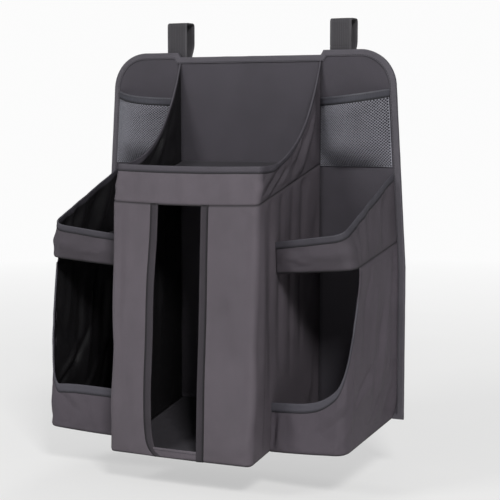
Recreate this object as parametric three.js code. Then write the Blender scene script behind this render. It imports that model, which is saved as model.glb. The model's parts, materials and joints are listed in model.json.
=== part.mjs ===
// Hanging nursery organizer: a stiffened back panel on two strap loops, with an open
// tray over a slotted stacker in the middle, and a shallow tray over an open cubby and a
// net pocket on each side.
// Millimetres. +X to the right, the front faces -Y, +Z up. The shapes are worked out
// with heights from the stacker's lowest seam and depths from the face of the back panel.
// The finished group is then moved, so that the origin is on the organizer's centre
// plane, on the line that the two strap loops bear on.
import * as THREE from 'three';

// Cloth, boards and clearances
const CLEARANCE = 0.3; // between pieces that are sewn together or lie on each other
const FABRIC = 1.6; // a padded wall
const HEM = 9; // width of a folded hem along a rim
const HEM_FABRIC = 2.4; // a hem is more layers of the same cloth
const COVER = 1; // the panel's front and rear covers
const TAPE = 0.8; // binding tape
const BOARD = 2.4; // stiffener boards
const BOARD_PLAY = 5; // a loose base board is cut this much smaller than its floor
const FLOOR_EASE = 1.8; // between a floor and the walls that lean over it

// Back panel
const PANEL_BOTTOM = 35;
const PANEL_TOP = 572; // over the side sections
const PANEL_TOP_MIDDLE = 565; // between the tray's gussets
const PANEL_STEP = 122; // half width where the top edge starts to step down
const PANEL_HALF_WIDTH = 250;
const PANEL_HALF_WIDTH_TOP = 234;
const PANEL_FLARE = 258; // height above which the sides draw in
const PANEL_CORNER = 55; // radius of the top corners
const PANEL_FOLD = 118; // half width where the three boards meet
const PANEL_FOLD_GAP = 3;
const BINDING_WIDTH = 7;
const OVER_BINDING = 2 * CLEARANCE + TAPE; // how far a wall's end stands off where it crosses the binding

// Straps
const STRAP_CENTRES = { left: -126, right: 146 };
const STRAP_WIDTH = 32;
const STRAP = 2;
const STRAP_SEWN = 34; // length sewn flat to the back of the panel
const LOOP_DEPTH = 22.6; // clear space in a strap loop
const LOOP_HEIGHT = 34;
const LOOP_CORNER = 5;
const BEARING_HEIGHT = 617; // underside of the strap where the organizer hangs
const TAIL_TOP = 538;
const TAIL_LENGTH = 98;
const PATCH = 1.4;
const PATCH_WIDTH = 30;
const LOOP_PATCH_LENGTH = 112;
const HOOK_PATCH_LENGTH = 84;

// Central column: the stacker, and the tray above it
const COLUMN_REAR = 117; // half width at the back panel
const COLUMN_FOOT = {
  halfWidth: 112, depth: 225, height: 0, rearHeight: 37, rearDepth: OVER_BINDING, cornerRise: 1.5, sag: 0,
};
const COLUMN_SEAM = {
  halfWidth: 114, depth: 207, height: 356, rearHeight: 406, rearDepth: CLEARANCE, cornerRise: 2, sag: 2,
};
const COLUMN_RIM = {
  halfWidth: 113, depth: 194, height: 408, rearHeight: 557, rearDepth: CLEARANCE, cornerRise: 0, sag: 1.5,
};
const COLUMN_CORNER = 9; // how far from a front corner the cloth starts to turn
const RIM_CURVE = { nearDepth: 110, nearHeight: 405, farDepth: 40, farHeight: 450 };
const FRONT_BOW = 2.5; // the fronts stand out this much at their middle
const SLOT_LEFT = 40; // the slot's edges, from the centre plane
const SLOT_RIGHT = 30;
const SLOT_BOW = 6; // the left edge is pulled out this much low down
const SLOT_BINDING = 10;
const SLOT_ROUND = 14; // the left edge turns in this much at the foot
const SLOT_ROUND_SHARE = 0.03; // the share of the height over which it does
// Shares of the height with a row of points. The cloth under the slot ends at the third.
const STACKER_LEVELS = [0, 0.017, 0.034, 0.07, 0.13, 0.22, 0.34, 0.48, 0.64, 0.82, 1];
const LIP_LEVELS = 3;

// Side pockets: their seams run from the column to the outer corner and to the panel. The
// left pocket hangs fuller at its corner and a little lower at its front.
const POCKET_CORNER = 20;
const POCKET_FOOT = {
  depth: 168, height: 10, outer: 234, cornerDepth: 184, cornerHeight: 19,
  rear: 235, rearHeight: 36, rearDepth: OVER_BINDING, leftFuller: 12, leftDrop: 4,
};
const POCKET_FLOOR = {
  depth: 149, height: 259, outer: 241, cornerDepth: 172, cornerHeight: 271,
  rear: 238, rearHeight: 295, rearDepth: CLEARANCE, leftFuller: 6, leftDrop: 3,
};
const POCKET_RIM = {
  depth: 152, height: 302, outer: 228, cornerDepth: 181, cornerHeight: 319,
  rear: 231, rearHeight: 393, rearDepth: CLEARANCE, leftFuller: 5, leftDrop: 1,
};
const LIP_HEIGHT = 68; // the cubby's lip above its foot, at the column
const LIP_RISE = { left: -4, right: 8 }; // how much it has climbed where the corner starts
const LIP_CORNER_RISE = { left: 175, right: 135 }; // and how much more around the corner
const LIP_HEM = 12;
const LIP_HEM_GAP = 1.9; // upright, and so much less across the steep end of the lip
const MOUTH_RECESS = 3; // the mouth's edge is hollowed this much above the lip
const SIDE_FOLD = 2.2; // depth of the soft folds in the outer walls
const SIDE_FOLD_COUNT = 3;

// Net pockets
const NET_INNER = 119;
const NET_MARGIN = 10; // from the panel's edge
const NET_BOTTOM = 403;
const NET_TOP = 492;
const NET_TOP_RISE = 12; // the band climbs towards its outer end
const NET_BULGE = 34;
const NET_FABRIC = 1.2;
const NET_FULL = 0.4; // share of its height at which the net is at its fullest
const NET_COLUMNS = 8;
const NET_ROWS = 7;
const NET_STRAND = 1.8;
const BAND_WIDTH = 11;
const BAND_FABRIC = 2;

// Materials
const cloth = (color, roughness) => new THREE.MeshStandardMaterial({ color, roughness, metalness: 0 });
const wallCloth = () => cloth(0x625d64, 0.75);
const sideCloth = () => cloth(0x4e4a50, 0.78);
const hemCloth = () => cloth(0x44464e, 0.7);
const coverCloth = () => cloth(0x47454b, 0.8);
const webbing = () => cloth(0x4b4b4e, 0.85);
const netting = () => cloth(0x3a393c, 0.9);
const fibreboard = () => cloth(0x8a7560, 0.9);
const hookAndLoop = () => cloth(0x2e2e31, 0.95);

const organizer = new THREE.Group();

function addPiece(name, geometry, material) {
  geometry.computeVertexNormals();
  const mesh = new THREE.Mesh(geometry, material);
  mesh.name = name;
  organizer.add(mesh);
}

const at = (x, y, z) => new THREE.Vector3(x, y, z);
const mix = THREE.MathUtils.lerp;
const between = (a, b, t) => a.clone().lerp(b, t);

// A closed body from points and triangles, with its faces turned outwards
function body(points, triangles) {
  let volume = 0;
  for (const [a, b, c] of triangles) {
    volume += points[a].dot(points[b].clone().cross(points[c]));
  }
  const faces = volume > 0 ? triangles : triangles.map(([a, b, c]) => [a, c, b]);
  const numbers = points.flatMap((p) => [p.x, p.y, p.z]);
  const geometry = new THREE.BufferGeometry();
  geometry.setAttribute('position', new THREE.Float32BufferAttribute(numbers, 3));
  geometry.setIndex(faces.flat());
  return geometry;
}

// The direction across a grid of points, at one of them
function gridNormal(rows, r, c) {
  const last = rows[r].length - 1;
  const along = rows[r][Math.min(c + 1, last)].clone().sub(rows[r][Math.max(c - 1, 0)]);
  const up = rows[Math.min(r + 1, rows.length - 1)][c].clone().sub(rows[Math.max(r - 1, 0)][c]);
  return along.cross(up).normalize();
}

// A sheet of cloth through rows of points, half of its thickness to each side of them.
// swell(u, v) moves it out square to itself, u along the rows and v across them.
function sheet(rows, thickness, swell = () => 0) {
  const rowCount = rows.length;
  const columnCount = rows[0].length;
  const points = [];
  for (const half of [thickness / 2, -thickness / 2]) {
    for (let r = 0; r < rowCount; r += 1) {
      for (let c = 0; c < columnCount; c += 1) {
        const push = half + swell(c / (columnCount - 1), r / (rowCount - 1));
        points.push(rows[r][c].clone().addScaledVector(gridNormal(rows, r, c), push));
      }
    }
  }
  const outer = (r, c) => r * columnCount + c;
  const inner = (r, c) => (rowCount + r) * columnCount + c;
  const triangles = [];
  const quad = (a, b, c, d) => triangles.push([a, b, c], [a, c, d]);
  for (let r = 0; r + 1 < rowCount; r += 1) {
    for (let c = 0; c + 1 < columnCount; c += 1) {
      quad(outer(r, c), outer(r, c + 1), outer(r + 1, c + 1), outer(r + 1, c));
      quad(inner(r, c), inner(r + 1, c), inner(r + 1, c + 1), inner(r, c + 1));
    }
  }
  const top = rowCount - 1;
  for (let c = 0; c + 1 < columnCount; c += 1) {
    quad(inner(0, c), inner(0, c + 1), outer(0, c + 1), outer(0, c));
    quad(outer(top, c), outer(top, c + 1), inner(top, c + 1), inner(top, c));
  }
  const end = columnCount - 1;
  for (let r = 0; r < top; r += 1) {
    quad(outer(r, 0), outer(r + 1, 0), inner(r + 1, 0), inner(r, 0));
    quad(inner(r, end), inner(r + 1, end), outer(r + 1, end), outer(r, end));
  }
  return body(points, triangles);
}

const turned = (loop) => (THREE.ShapeUtils.isClockWise(loop) ? [...loop].reverse() : loop);

// A flat surface of triangles between two faces, closed along its free edges.
// place(point, face) gives the place in space of a flat point on face 0 or 1.
function thickened(flat, surface, place) {
  const count = flat.length;
  const triangles = [];
  const free = new Map();
  for (const [a, b, c] of surface) {
    triangles.push([a, c, b], [count + a, count + b, count + c]);
    for (const [from, to] of [[a, b], [b, c], [c, a]]) {
      if (!free.delete(`${to} ${from}`)) {
        free.set(`${from} ${to}`, [from, to]);
      }
    }
  }
  for (const [a, b] of free.values()) {
    triangles.push([a, b, count + b], [a, count + b, count + a]);
  }
  return body([...flat.map((p) => place(p, 0)), ...flat.map((p) => place(p, 1))], triangles);
}

function slab(outline, place) {
  const contour = turned(outline);
  return thickened(contour, THREE.ShapeUtils.triangulateShape(contour, []), place);
}

// A plate of convex pieces that share their corners
function plate(pieces, place) {
  const flat = [];
  const known = new Map();
  const numberOf = (point) => {
    const key = `${point.x.toFixed(6)} ${point.y.toFixed(6)}`;
    if (!known.has(key)) {
      known.set(key, flat.push(point) - 1);
    }
    return known.get(key);
  };
  const surface = pieces.flatMap((piece) => {
    const loop = piece.map(numberOf);
    return loop.slice(2).map((last, i) => [loop[0], loop[i + 1], last]);
  });
  return thickened(flat, surface, place);
}

// A ring of cross sections, each the same number of points, closed both ways
function ring(sections) {
  const size = sections[0].length;
  const triangles = [];
  for (let s = 0; s < sections.length; s += 1) {
    for (let i = 0; i < size; i += 1) {
      const a = s * size + i;
      const b = s * size + ((i + 1) % size);
      const next = ((s + 1) % sections.length) * size;
      triangles.push([a, b, next + ((i + 1) % size)], [a, next + ((i + 1) % size), next + i]);
    }
  }
  return body(sections.flat(), triangles);
}

// An outline drawn in by a distance all round, or let out by a negative one
function drawnIn(outline, distance) {
  const loop = turned(outline);
  return loop.map((point, i) => {
    const before = point.clone().sub(loop.at(i - 1)).normalize();
    const after = loop[(i + 1) % loop.length].clone().sub(point).normalize();
    const across = new THREE.Vector2(-before.y - after.y, before.x + after.x).normalize();
    const reach = distance / Math.max(0.3, across.dot(new THREE.Vector2(-before.y, before.x)));
    return point.clone().addScaledVector(across, reach);
  });
}

// The part of an outline on one side of a vertical line
function cutAt(outline, limit, side) {
  const kept = [];
  outline.forEach((point, i) => {
    const next = outline[(i + 1) % outline.length];
    const inside = (point.x - limit) * side >= 0;
    if (inside) {
      kept.push(point.clone());
    }
    if (inside !== (next.x - limit) * side >= 0) {
      kept.push(point.clone().lerp(next, (limit - point.x) / (next.x - point.x)));
    }
  });
  return kept;
}

// Half width of the back panel at a height
function panelHalfWidth(height) {
  const rise = (height - PANEL_FLARE) / (PANEL_TOP - PANEL_CORNER - PANEL_FLARE);
  return mix(PANEL_HALF_WIDTH, PANEL_HALF_WIDTH_TOP, THREE.MathUtils.clamp(rise, 0, 1));
}

function panelOutline() {
  const corner = { x: PANEL_HALF_WIDTH_TOP - PANEL_CORNER, y: PANEL_TOP - PANEL_CORNER };
  const shape = new THREE.Shape();
  shape.moveTo(-PANEL_HALF_WIDTH, PANEL_BOTTOM);
  shape.lineTo(PANEL_HALF_WIDTH, PANEL_BOTTOM);
  shape.lineTo(PANEL_HALF_WIDTH, PANEL_FLARE);
  shape.lineTo(PANEL_HALF_WIDTH_TOP, corner.y);
  shape.absarc(corner.x, corner.y, PANEL_CORNER, 0, Math.PI / 2);
  shape.lineTo(PANEL_STEP, PANEL_TOP);
  shape.lineTo(PANEL_FOLD, PANEL_TOP_MIDDLE);
  shape.lineTo(-PANEL_FOLD, PANEL_TOP_MIDDLE);
  shape.lineTo(-PANEL_STEP, PANEL_TOP);
  shape.absarc(-corner.x, corner.y, PANEL_CORNER, Math.PI / 2, Math.PI);
  shape.lineTo(-PANEL_HALF_WIDTH, PANEL_FLARE);
  const points = shape.getPoints(6);
  return points.filter((p, i) => p.distanceTo(points.at(i - 1)) > 0.01);
}

// The panel's layers, as depths behind its face
const BOARD_FRONT = COVER + CLEARANCE;
const REAR_COVER_FRONT = BOARD_FRONT + BOARD + CLEARANCE;
const PANEL_BACK = REAR_COVER_FRONT + COVER;

const upright = (front, back) => (p, face) => at(p.x, face ? back : front, p.y);

function backPanel() {
  const outline = panelOutline();
  addPiece('back_panel_front_cover', slab(outline, upright(0, COVER)), coverCloth());
  addPiece('back_panel_rear_cover', slab(outline, upright(REAR_COVER_FRONT, PANEL_BACK)), coverCloth());
  const inside = drawnIn(outline, BINDING_WIDTH);
  const seam = PANEL_FOLD - PANEL_FOLD_GAP / 2;
  const boardPlace = upright(BOARD_FRONT, BOARD_FRONT + BOARD);
  addPiece('back_board_left', slab(cutAt(inside, -seam - PANEL_FOLD_GAP, -1), boardPlace), fibreboard());
  addPiece('back_board_middle', slab(cutAt(cutAt(inside, -seam, 1), seam, -1), boardPlace), fibreboard());
  addPiece('back_board_right', slab(cutAt(inside, seam + PANEL_FOLD_GAP, 1), boardPlace), fibreboard());
  addPiece('back_panel_binding', panelBinding(outline), hemCloth());
}

// A tape folded over the panel's edge all round
function panelBinding(outline) {
  const edge = drawnIn(outline, -CLEARANCE);
  const outside = drawnIn(outline, -CLEARANCE - TAPE);
  const inside = drawnIn(outline, BINDING_WIDTH);
  const near = -CLEARANCE;
  const far = PANEL_BACK + CLEARANCE;
  return ring(outside.map((p, i) => [
    at(p.x, near - TAPE, p.y),
    at(inside[i].x, near - TAPE, inside[i].y),
    at(inside[i].x, near, inside[i].y),
    at(edge[i].x, near, edge[i].y),
    at(edge[i].x, far, edge[i].y),
    at(inside[i].x, far, inside[i].y),
    at(inside[i].x, far + TAPE, inside[i].y),
    at(p.x, far + TAPE, p.y),
  ]));
}

// Straps: sewn flat to the back of the panel, up in front of what they hang on, over it
// and down behind it, and back to a tail that fastens on a patch on the panel's rear
const STRAP_FRONT = PANEL_BACK + CLEARANCE + TAPE + CLEARANCE;
const STRAP_FOOT = PANEL_TOP + CLEARANCE + TAPE + 2 * CLEARANCE;
const LOOP_FRONT = STRAP_FRONT + STRAP;
const LOOP_BACK = LOOP_FRONT + LOOP_DEPTH;
const LOOP_PATCH_FRONT = PANEL_BACK + CLEARANCE;
const HOOK_PATCH_FRONT = LOOP_PATCH_FRONT + PATCH + CLEARANCE;
const TAIL_FRONT = HOOK_PATCH_FRONT + PATCH + CLEARANCE;

// A ribbon of one width, seen edge on as a path of depths and heights
function ribbon(path, thickness, centre, width) {
  const offset = (reach) => path.map((point, i) => {
    const run = path[Math.min(i + 1, path.length - 1)].clone().sub(path[Math.max(i - 1, 0)]).normalize();
    return new THREE.Vector2(point.x - run.y * reach, point.y + run.x * reach);
  });
  const outline = [...offset(thickness / 2), ...offset(-thickness / 2).reverse()];
  return slab(outline, (p, face) => at(centre + (face - 0.5) * width, p.x, p.y));
}

const level = (depth, from, to) => [new THREE.Vector2(depth, from), new THREE.Vector2(depth, to)];

function strapLoopPath() {
  const front = STRAP_FRONT + STRAP / 2;
  const back = LOOP_BACK + STRAP / 2;
  const top = BEARING_HEIGHT + STRAP / 2;
  const turnDown = BEARING_HEIGHT - LOOP_HEIGHT;
  const path = new THREE.Path();
  path.moveTo(front, STRAP_FOOT + CLEARANCE);
  path.lineTo(front, top - LOOP_CORNER);
  path.quadraticCurveTo(front, top, front + LOOP_CORNER, top);
  path.lineTo(back - LOOP_CORNER, top);
  path.quadraticCurveTo(back, top, back, top - LOOP_CORNER);
  path.lineTo(back, turnDown + LOOP_CORNER);
  path.quadraticCurveTo(back, turnDown, back - LOOP_CORNER / 2, turnDown - LOOP_CORNER);
  path.lineTo(TAIL_FRONT + STRAP / 2, TAIL_TOP + STRAP);
  path.lineTo(TAIL_FRONT + STRAP / 2, TAIL_TOP + CLEARANCE);
  const points = path.getPoints(4);
  return points.filter((p, i) => i === 0 || p.distanceTo(points[i - 1]) > 0.01);
}

function strap(side) {
  const centre = STRAP_CENTRES[side];
  const sewn = level(STRAP_FRONT + STRAP / 2, STRAP_FOOT - STRAP_SEWN, STRAP_FOOT);
  addPiece(`strap_${side}_sewn_end`, ribbon(sewn, STRAP, centre, STRAP_WIDTH), webbing());
  addPiece(`strap_${side}_loop`, ribbon(strapLoopPath(), STRAP, centre, STRAP_WIDTH), webbing());
  const tail = level(TAIL_FRONT + STRAP / 2, TAIL_TOP - TAIL_LENGTH, TAIL_TOP);
  addPiece(`strap_${side}_tail`, ribbon(tail, STRAP, centre, STRAP_WIDTH), webbing());
  const hookTop = TAIL_TOP - (TAIL_LENGTH - HOOK_PATCH_LENGTH) / 2;
  const hook = level(HOOK_PATCH_FRONT + PATCH / 2, hookTop - HOOK_PATCH_LENGTH, hookTop);
  addPiece(`strap_${side}_hook_patch`, ribbon(hook, PATCH, centre, PATCH_WIDTH), hookAndLoop());
  const loopTop = TAIL_TOP + CLEARANCE;
  const loop = level(LOOP_PATCH_FRONT + PATCH / 2, loopTop - LOOP_PATCH_LENGTH, loopTop);
  addPiece(`panel_${side}_loop_patch`, ribbon(loop, PATCH, centre, STRAP_WIDTH), hookAndLoop());
}

// A seam line is a list of curves. A wall is cut from the ruled surface between two
// seam lines that have the same number of curves.
const line = (a, b) => new THREE.LineCurve3(a, b);
const turn = (a, corner, b) => new THREE.QuadraticBezierCurve3(a, corner, b);

const bowed = (a, b, push) => turn(a, between(a, b, 0.5).addScaledVector(push, 2), b);

// Half width of the column's side wall at a depth and a height
function columnHalfWidth(depth, height) {
  const share = height / COLUMN_SEAM.height;
  const front = mix(COLUMN_FOOT.halfWidth, COLUMN_SEAM.halfWidth, share);
  return mix(COLUMN_REAR, front, depth / mix(COLUMN_FOOT.depth, COLUMN_SEAM.depth, share));
}

// Seam line of the column: left side, corner, front, corner, right side
function columnSeam(seam, sideCurve = line) {
  const { halfWidth, depth, height, cornerRise, sag } = seam;
  const rear = (side) => at(side * COLUMN_REAR, -seam.rearDepth, seam.rearHeight);
  const corner = (side) => at(side * halfWidth, -depth, height);
  const onSide = (side) => between(corner(side), rear(side), COLUMN_CORNER / depth).setZ(height + cornerRise);
  const onFront = (side) => at(side * (halfWidth - COLUMN_CORNER), -depth, height);
  return [
    sideCurve(rear(-1), onSide(-1)),
    turn(onSide(-1), corner(-1), onFront(-1)),
    bowed(onFront(-1), onFront(1), at(0, -FRONT_BOW, -sag)),
    turn(onFront(1), corner(1), onSide(1)),
    sideCurve(onSide(1), rear(1)),
  ];
}

// The tray's side rims fall steeply from the top of the panel and run out level
function gussetCurve(a, b) {
  const side = Math.sign(a.x);
  const place = (depth, height) => at(side * columnHalfWidth(depth, COLUMN_SEAM.height), -depth, height);
  const near = place(RIM_CURVE.nearDepth, RIM_CURVE.nearHeight);
  const far = place(RIM_CURVE.farDepth, RIM_CURVE.farHeight);
  const [first, second] = a.z > b.z ? [far, near] : [near, far];
  return new THREE.CubicBezierCurve3(a, first, second, b);
}

// Seam line of a side pocket: front, corner, outer side
function pocketSeam(side, seam) {
  const sign = SIDES[side];
  const [fuller, drop] = side === 'left' ? [seam.leftFuller, seam.leftDrop] : [0, 0];
  const edge = columnHalfWidth(seam.depth, seam.height) + FABRIC / 2 + 2 * CLEARANCE;
  const inner = at(sign * edge, -seam.depth, seam.height - drop);
  const corner = at(sign * (seam.outer + fuller), -seam.cornerDepth, seam.cornerHeight - drop);
  const rear = at(sign * seam.rear, -seam.rearDepth, seam.rearHeight);
  const onFront = between(corner, inner, POCKET_CORNER / corner.distanceTo(inner));
  const onSide = between(corner, rear, POCKET_CORNER / corner.distanceTo(rear));
  return [bowed(inner, onFront, at(0, -FRONT_BOW, 0)), turn(onFront, corner, onSide), line(onSide, rear)];
}

// A line on the wall between two seam lines, rise(part, t) millimetres above the lower
function lineOnWall(foot, rim, rise) {
  return foot.map((curve, part) => ({
    getPoint(t) {
      const low = curve.getPoint(t);
      const high = rim[part].getPoint(t);
      return between(low, high, rise(part, t) / low.distanceTo(high));
    },
  }));
}

const evenly = (count) => Array.from({ length: count + 1 }, (_, i) => i / count);

// Rows of points on the wall between two seam lines, over some of their parts, each
// given as [part, steps]. The wall keeps clear of both lines, or it is only a strip
// along the upper one. start(v) and end cut it back at its two ends.
function wall(foot, rim, options) {
  const { parts, levels, strip, start = () => 0, end = 0 } = options;
  const { fromFoot = CLEARANCE / 2, fromRim = CLEARANCE / 2 } = options;
  const runOf = (part) => foot[part].getPoint(0).distanceTo(foot[part].getPoint(1));
  return levels.map((v) => {
    const row = [];
    parts.forEach(([part, steps], index) => {
      const from = index === 0 ? start(v) / runOf(part) : 0;
      const to = index === parts.length - 1 ? 1 - end / runOf(part) : 1;
      for (let k = index === 0 ? 0 : 1; k <= steps; k += 1) {
        const t = mix(from, to, k / steps);
        const low = foot[part].getPoint(t);
        const high = rim[part].getPoint(t);
        const height = low.distanceTo(high);
        const bottom = strip ? height - strip : fromFoot;
        row.push(between(low, high, mix(bottom, height - fromRim, v) / height));
      }
    });
    return row;
  });
}

// The slope of a floor, as a height at any x and y, through three points
function slope(a, b, c) {
  const plane = new THREE.Plane().setFromCoplanarPoints(a, b, c);
  return (x, y) => -(plane.constant + plane.normal.x * x + plane.normal.y * y) / plane.normal.z;
}

// A plan outline from the parts of a seam line
function planOf(seam, steps) {
  const outline = [];
  seam.forEach((curve, part) => {
    for (let k = 0; k < steps[part]; k += 1) {
      const point = curve.getPoint(k / steps[part]);
      outline.push(new THREE.Vector2(point.x, point.y));
    }
  });
  const end = seam.at(-1).getPoint(1);
  outline.push(new THREE.Vector2(end.x, end.y));
  return outline;
}

// A fabric floor inside a seam line, and the loose base board that lies on it. plan gives
// the outline with its corners in so many steps. Only at the panel does the floor keep
// the outline's edge.
function floorAndBoard(name, plan, heightAt) {
  const sloped = (low, high) => (p, face) => at(p.x, p.y, heightAt(p.x, p.y) + (face ? high : low));
  const ease = FABRIC / 2 + FLOOR_EASE;
  const toPanel = (outline) => {
    const rear = Math.max(...outline.map((p) => p.y));
    return outline.map((p) => (p.y === rear ? new THREE.Vector2(p.x, rear + ease) : p));
  };
  const floor = drawnIn(toPanel(plan(FLOOR_CORNER_STEPS)), ease);
  addPiece(`${name}_floor`, slab(floor, sloped(-FABRIC / 2, FABRIC / 2)), sideCloth());
  const seat = FABRIC / 2 + CLEARANCE;
  const board = drawnIn(toPanel(plan(1)), ease + BOARD_PLAY);
  addPiece(`${name}_base_board`, slab(board, sloped(seat, seat + BOARD)), coverCloth());
}

const SIDES = { left: -1, right: 1 };
const columnFoot = columnSeam(COLUMN_FOOT);
const columnMiddle = columnSeam(COLUMN_SEAM);
const columnRim = columnSeam(COLUMN_RIM, gussetCurve);
const FLOOR_CORNER_STEPS = 3;
const columnPlan = (seam) => (steps) => planOf(seam, [1, steps, 4, steps, 1]);

function columnSlope({ halfWidth, depth, height, rearHeight }) {
  return slope(at(halfWidth, -depth, height), at(-halfWidth, -depth, height), at(0, 0, rearHeight));
}

function wipeTray() {
  const belowHem = HEM + CLEARANCE;
  const front = { parts: [[1, 3], [2, 8], [3, 3]], levels: evenly(2), fromRim: belowHem };
  addPiece('wipe_tray_front', sheet(wall(columnMiddle, columnRim, front), FABRIC), wallCloth());
  const parts = { left: [[0, 14]], right: [[4, 14]] };
  for (const side of Object.keys(SIDES)) {
    const atFront = side === 'left' ? { end: CLEARANCE } : { start: () => CLEARANCE };
    const options = { parts: parts[side], levels: evenly(4), fromRim: belowHem, ...atFront };
    addPiece(`wipe_tray_${side}_gusset`, sheet(wall(columnMiddle, columnRim, options), FABRIC), sideCloth());
  }
  const allRound = [[0, 14], [1, 3], [2, 8], [3, 3], [4, 14]];
  const rim = { parts: allRound, levels: evenly(1), strip: HEM, fromRim: 0 };
  addPiece('wipe_tray_rim', sheet(wall(columnMiddle, columnRim, rim), HEM_FABRIC), hemCloth());
  floorAndBoard('wipe_tray', columnPlan(columnMiddle), columnSlope(COLUMN_SEAM));
}

// Where an edge of the stacker's slot stands at a share of its height
function slotEdge(side, share) {
  const bow = SLOT_BOW * Math.sin(Math.PI * share ** 0.6);
  const round = SLOT_ROUND * Math.exp(-share / SLOT_ROUND_SHARE);
  return side < 0 ? round - bow - SLOT_LEFT : SLOT_RIGHT;
}

// A point on the stacker's front, by its x and its share of the height
function stackerPoint(x, share) {
  const run = COLUMN_FOOT.halfWidth - COLUMN_CORNER;
  const t = (x + run) / (2 * run);
  return between(columnFoot[2].getPoint(t), columnMiddle[2].getPoint(t), share).setX(x);
}

// Rows of points on the stacker's front between two edges, each given at a share of height
function stackerRows(leftEdge, rightEdge, columns, levels) {
  const margin = CLEARANCE / 2 / COLUMN_SEAM.height;
  return levels.map((level) => {
    const share = THREE.MathUtils.clamp(level, margin, 1 - margin);
    const row = [];
    for (let c = 0; c <= columns; c += 1) {
      row.push(stackerPoint(mix(leftEdge(share), rightEdge(share), c / columns), share));
    }
    return row;
  });
}

function stacker() {
  for (const [side, sign] of Object.entries(SIDES)) {
    const tape = (share) => slotEdge(sign, share) + sign * SLOT_BINDING;
    const clearOfTape = (share) => tape(share) + sign * CLEARANCE;
    const flatWidth = (share) => mix(COLUMN_FOOT.halfWidth, COLUMN_SEAM.halfWidth, share) - COLUMN_CORNER;
    const corner = (share) => sign * flatWidth(share);
    const edges = sign < 0 ? [corner, clearOfTape] : [clearOfTape, corner];
    const flat = stackerRows(...edges, 4, STACKER_LEVELS);
    const bend = wall(columnFoot, columnMiddle, { parts: [[sign < 0 ? 1 : 3, 3]], levels: STACKER_LEVELS });
    const joined = (row, r) => (sign < 0 ? [...bend[r].slice(0, -1), ...row] : [...row, ...bend[r].slice(1)]);
    const rows = flat.map(joined);
    addPiece(`stacker_front_${side}`, sheet(rows, FABRIC), wallCloth());
    const inner = (share) => slotEdge(sign, share);
    const tapeEdges = sign < 0 ? [tape, inner] : [inner, tape];
    const tapeRows = stackerRows(...tapeEdges, 1, STACKER_LEVELS);
    addPiece(`stacker_slot_binding_${side}`, sheet(tapeRows, HEM_FABRIC), hemCloth());
    const atFront = sign < 0 ? { end: CLEARANCE } : { start: () => CLEARANCE };
    const options = { parts: [[sign < 0 ? 0 : 4, 6]], levels: evenly(6), ...atFront };
    addPiece(`stacker_side_${side}`, sheet(wall(columnFoot, columnMiddle, options), FABRIC), sideCloth());
  }
  const lipEdge = (sign) => (share) => slotEdge(sign, share) - sign * CLEARANCE;
  const lipRows = stackerRows(lipEdge(-1), lipEdge(1), 4, STACKER_LEVELS.slice(0, LIP_LEVELS));
  addPiece('stacker_lip', sheet(lipRows, FABRIC), wallCloth());
  floorAndBoard('stacker', columnPlan(columnFoot), columnSlope(COLUMN_FOOT));
}

// Soft upright folds that die away at the edges
const sideFolds = (u, v) => SIDE_FOLD * Math.sin(2 * Math.PI * SIDE_FOLD_COUNT * u) * Math.sin(Math.PI * v);

// Plan outline inside a side pocket
const pocketPlan = (seam) => (steps) => {
  const outline = planOf(seam, [3, steps, 1]);
  const inner = seam[0].getPoint(0);
  const rear = seam.at(-1).getPoint(1);
  outline.push(new THREE.Vector2(Math.sign(inner.x) * (COLUMN_REAR + FABRIC / 2 + CLEARANCE), rear.y));
  return outline;
};

function sideTray(side) {
  const floorSeam = pocketSeam(side, POCKET_FLOOR);
  const rimSeam = pocketSeam(side, POCKET_RIM);
  const belowHem = HEM + CLEARANCE;
  const front = wall(floorSeam, rimSeam, { parts: [[0, 5], [1, 4]], levels: evenly(2), fromRim: belowHem });
  addPiece(`side_tray_${side}_front`, sheet(front, FABRIC), wallCloth());
  const outer = { parts: [[2, 18]], levels: evenly(5), fromRim: belowHem, start: () => CLEARANCE };
  const outerRows = wall(floorSeam, rimSeam, outer);
  addPiece(`side_tray_${side}_outer_wall`, sheet(outerRows, FABRIC, sideFolds), sideCloth());
  const rim = { parts: [[0, 5], [1, 4], [2, 6]], levels: evenly(1), strip: HEM, fromRim: 0 };
  addPiece(`side_tray_${side}_rim`, sheet(wall(floorSeam, rimSeam, rim), HEM_FABRIC), hemCloth());
  const corners = [floorSeam[0].getPoint(0), floorSeam[1].getPoint(0), floorSeam[2].getPoint(1)];
  floorAndBoard(`side_tray_${side}`, pocketPlan(floorSeam), slope(...corners));
}

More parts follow.
